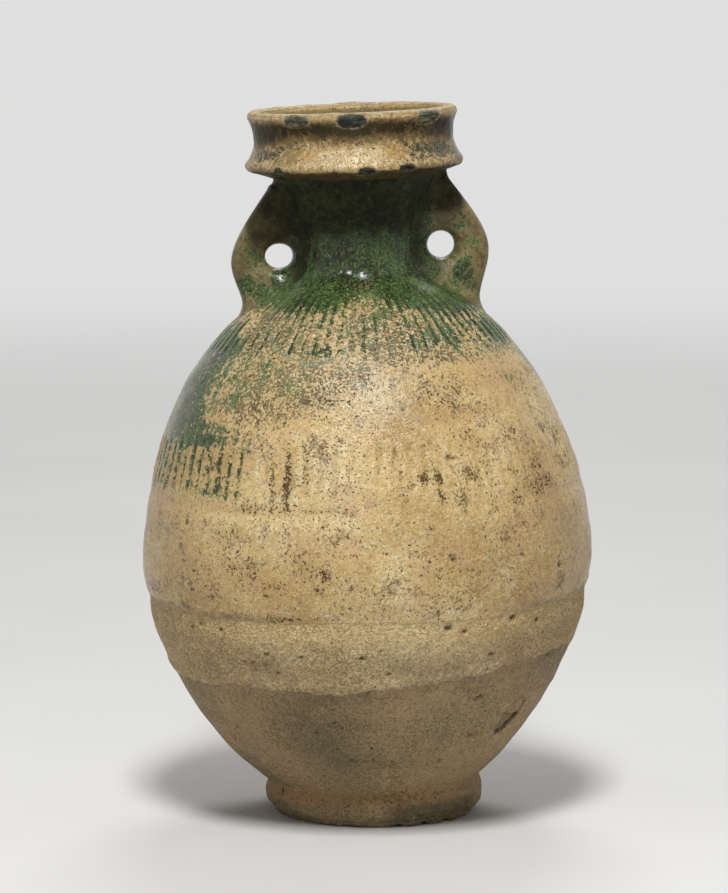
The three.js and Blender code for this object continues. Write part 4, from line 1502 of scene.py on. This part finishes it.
def broken_clay(s):
    """The grey of the fired clay where a chip lays it open, torn in lines that run round the pot."""
    s.noises["lines"] = s.noise(2.4, 3, 0.6, place=s.vector("MULTIPLY", s.place, (0.35, 0.35, 3.0)))
    torn = s.cloud(lines=1.3, grain=0.6)
    pale = s.ramp(torn, (0.38, 70, 68, 54), (0.5, 98, 94, 74), (0.62, 142, 136, 110))
    dark = s.ramp(torn, (0.38, 38, 40, 34), (0.5, 54, 56, 47), (0.62, 92, 93, 78))
    # Darker chips: dark broken clay, partly painted shade.
    return s.mix(s.area("char"), pale, dark)


def glaze_finish(s, specks, green, roughness):
    """What both glazes end with: the inside and the olive areas, both with painted shade, the thin areas,
    holes, chips, relief and gloss.
    """
    n = s.noises
    # Painted shade inside the pot.
    s.coat(s.area("inside"), s.ramp(n["patch"], (0.4, 84, 76, 52), (0.6, 118, 104, 74)), 0.85)
    # Dark olive: olive glaze, with painted shade up the neck, under the flange and over the ears.
    olive = s.torn("olive", 0.25, 0.75, patch=1.3, blotch=0.8, grain=0.9)
    smoky = s.cloud(patch=0.6, grain=0.5)
    s.coat(olive, s.ramp(smoky, (0.42, 27, 28, 19), (0.5, 36, 35, 24), (0.6, 51, 46, 32)), 0.85)
    thin = s.torn("thin", 0.4, 0.75, patch=1.2, grain=0.7)
    s.coat(thin, s.ramp(n["grain"], (0.4, 142, 126, 92), (0.6, 178, 162, 126)), 0.75)
    # Dirt and painted shade in the pits.
    s.coat(s.range(s.area("hole"), 0.45, 0.9), (58, 44, 28), 0.85)
    crushed = s.range(s.add(n["speck"], s.weigh(grain=0.8)), 0.42, 0.6, 0.05, 0.6)
    s.coat(s.area("bruise"), (176, 166, 130), crushed)
    worn = s.area("worn")
    s.coat(worn, broken_clay(s))
    matt = s.most(s.times(olive, 0.5), thin, worn)
    rough = s.add(
        roughness, s.weigh(patch=0.6, blotch=0.5), s.times(matt, 0.4), s.times(green, -0.12),
        s.times(s.area("bloom"), -0.07), s.times(s.area("grime"), 0.08), s.times(specks, 0.3),
    )
    relief = s.stack(
        dust=s.blend(green, 0.4, 0.1), fine=s.blend(green, 0.5, 0.15), grain=s.blend(green, 0.2, 0.12),
    )
    height = s.add(
        relief, s.times(n["patch"], 0.2), s.times(specks, -0.25), s.times(worn, n["speck"], 2.5),
        s.times(thin, n["fine"], 0.8), s.times(green, 0.35),
    )
    dull = s.most(olive, s.times(s.area("waist"), 0.9), specks, s.times(s.area("groove"), 0.7))
    return s.finish(s.math("MINIMUM", s.most(rough, 0.14), 0.9), height, 0.4, s.blend(dull, 0.34, 0.07))


def straw_glaze():
    s = glazed("straw glaze over slip")
    n = s.noises
    specks = straw(s)
    s.coat(s.torn("ochre", 0.25, 0.5, 0.6, patch=0.8, grain=0.4), (178, 136, 58), 0.6)
    # Dull olive over the dish, with painted shade on its sides and under the flange.
    aged = s.area("aged")
    patchy = s.range(s.cloud(patch=1.0, grain=0.9, fine=0.7), 0.36, 0.6, 0.85, 0.25)
    s.coat(s.times(aged, patchy), s.ramp(aged, (0.55, 108, 93, 60), (0.95, 82, 71, 45)))
    peppered = s.range(s.add(s.noise(0.95, 2, 0.6), s.times(aged, 0.1), s.weigh(patch=0.4)), 0.66, 0.7)
    s.coat(s.times(peppered, aged), (66, 48, 26), 0.8)
    # The waist's dark band: pooled brown-olive glaze, with painted shade under the lip and on the dish's
    # sides.
    waist = s.add(s.area("waist"), s.weigh(blotch=1.0, patch=1.3, speck=1.3, fine=0.6))
    s.coat(s.range(waist, 0.1, 0.5), (116, 93, 55), 0.8)
    s.coat(s.range(waist, 0.35, 0.95), s.ramp(n["blotch"], (0.4, 42, 31, 16), (0.6, 56, 50, 30)), 0.95)
    green = copper_green(s, 0.0)
    dots = s.pits(1.5, 1.5, s.times(s.area("specks"), s.range(n["grain"], 0.4, 0.6, 0.7, 1.2)))
    s.coat(s.most(dots, s.torn("specks", 0.42, 0.52, 0.5, speck=2.0, fine=1.0)), (32, 42, 27), 0.88)
    run = s.torn("run", 0.35, 0.75, grain=2.0, speck=2.4, fine=2.0)
    s.coat(run, (104, 122, 96), s.range(s.area("run"), 0.05, 0.4, 0.0, 0.62))
    return glaze_finish(s, specks, green, 0.27)


def green_glaze():
    s = glazed("copper green glaze")
    specks = straw(s)
    s.coat(s.torn("buff", 0.3, 0.6, blotch=1.0, patch=0.8), (166, 124, 90), 0.5)
    s.coat(s.range(s.cloud(patch=1.0, grain=0.6), 0.4, 0.62, 0.92, 0.55), (76, 66, 38))
    green = copper_green(s, 0.1)
    return glaze_finish(s, specks, green, 0.3)


# Stage

def softbox(name, place, target, width, height, watts, shine=1.0):
    light = bpy.data.lights.new(name, "AREA")
    light.shape = "RECTANGLE"
    light.size, light.size_y = width, height
    light.energy = watts
    light.specular_factor = shine
    lamp = new_object(name, light)
    lamp.location = place
    way = Vector(target) - lamp.location
    lamp.rotation_euler = way.to_track_quat("-Z", "Y").to_euler()


def background_rays(tree):
    """1 for the rays that show the background: what the camera sees straight, mirrored or through glass."""
    kinds = ("Is Camera Ray", "Is Glossy Ray", "Is Transmission Ray")
    return tree.most(*[tree.node("ShaderNodeLightPath", out=kind) for kind in kinds])


def set_camera(scene):
    lens = bpy.data.cameras.new("camera")
    lens.sensor_width = SENSOR
    lens.lens = LENS_PIXELS / PICTURE_HEIGHT * SENSOR
    lens.clip_end = 50
    scene.camera = new_object("camera", lens)
    scene.camera.location = CAMERA_PLACE
    scene.camera.rotation_euler = (math.radians(90 - CAMERA_DROP), 0, 0)


def lay_floor():
    """A pale floor that turns into the backdrop further off."""
    mesh = bpy.data.meshes.new("floor")
    corners = [(x * FLOOR_REACH, y * FLOOR_REACH, 0) for x, y in ((-1, -1), (1, -1), (1, 1), (-1, 1))]
    mesh.from_pydata(corners, [], [(0, 1, 2, 3)])
    floor = new_object("floor", mesh)
    s = Surface("pale studio floor")
    cloudy = s.ramp(s.noise(220, 2), (0.3, 210.8, 210.36, 209.35), (0.7, 216.46, 216.04, 215.06))
    shader = s.node("ShaderNodeBsdfPrincipled", Base_Color=cloudy, Roughness=0.8)
    distance = s.vector("LENGTH", s.place, out=1)
    far_off = s.times(background_rays(s), s.range(distance, *FLOOR_FADE, smooth=True))
    backdrop = s.node("ShaderNodeEmission", (0.74, 0.74, 0.735, 1), 1.0)
    s.node("ShaderNodeOutputMaterial", s.node("ShaderNodeMixShader", far_off, shader, backdrop))
    mesh.materials.append(s.material)


def set_world(scene):
    scene.world = bpy.data.worlds.new("studio")
    scene.world.use_nodes = True
    w = Tree(scene.world.node_tree)
    w.tree.nodes.clear()
    strength = w.blend(background_rays(w), WORLD_LIGHT, WORLD_SEEN)
    w.node("ShaderNodeOutputWorld", w.node("ShaderNodeBackground", (0.96, 0.955, 0.95, 1), strength))


def set_stage():
    scene = bpy.context.scene
    scene.view_settings.view_transform = "Standard"
    set_camera(scene)
    lay_floor()
    set_world(scene)
    middle = (0, 0, 0.13)
    softbox("key", (-0.03, -0.80, 1.42), (0, 0, 0.14), 0.26, 0.55, 22.5)
    softbox("fill left", (-1.5, -0.4, 0.8), middle, 0.8, 1.0, 1.1, shine=0.25)
    softbox("fill right", (1.5, -0.4, 0.8), middle, 0.8, 1.0, 0.9, shine=0.25)
    softbox("back", (0.1, 1.2, 1.3), middle, 0.6, 0.5, 10, shine=0.4)


glaze, green, bare = straw_glaze(), green_glaze(), bare_stoneware()
make_foot(bare)
make_lower_body(bare)
make_upper_body(glaze)
make_neck(green)
make_dish(glaze)

# Each ear's eye is half its width, half its height and how far it sits above its place. The blotches of
# green are distance from the axis, rise above the shoulder, size and strength. The olive and shadow is the
# heights between which the painted shadow under the dish thickens on the ear, and how much darkening lies
# everywhere.
make_ear(
    "ear_right", "right_ear", EAR_TURN, 0.5 * EAR_LIFT_DIFFERENCE, seed=1.3,
    eye=(0.97 * EAR_EYE_RADIUS, 0.95 * EAR_EYE_RADIUS, 0.2),
    blotches=[(35.7, 21, 4, 0.72), (37, 3, 5, 0.7), (39, -1.5, 4, 0.6), (24, 4, 6, 0.7), (32, -3, 5, 0.6)],
    flush=1.0, smoky=(206, 219, 0.05), material=green,
)
make_ear(
    "ear_left", "left_ear", 180 + EAR_TURN, -0.5 * EAR_LIFT_DIFFERENCE, seed=4.1,
    eye=(EAR_EYE_RADIUS, 0.87 * EAR_EYE_RADIUS, 0.4),
    blotches=[
        (37.2, 12.5, 4, 0.62), (39.5, 3.5, 4.5, 0.7), (27, 4, 5.5, 0.8), (35, 0, 5, 0.64), (34, 20, 4, 0.5),
    ],
    flush=0.6, smoky=(198, 211, 0.22), material=green,
)
set_stage()
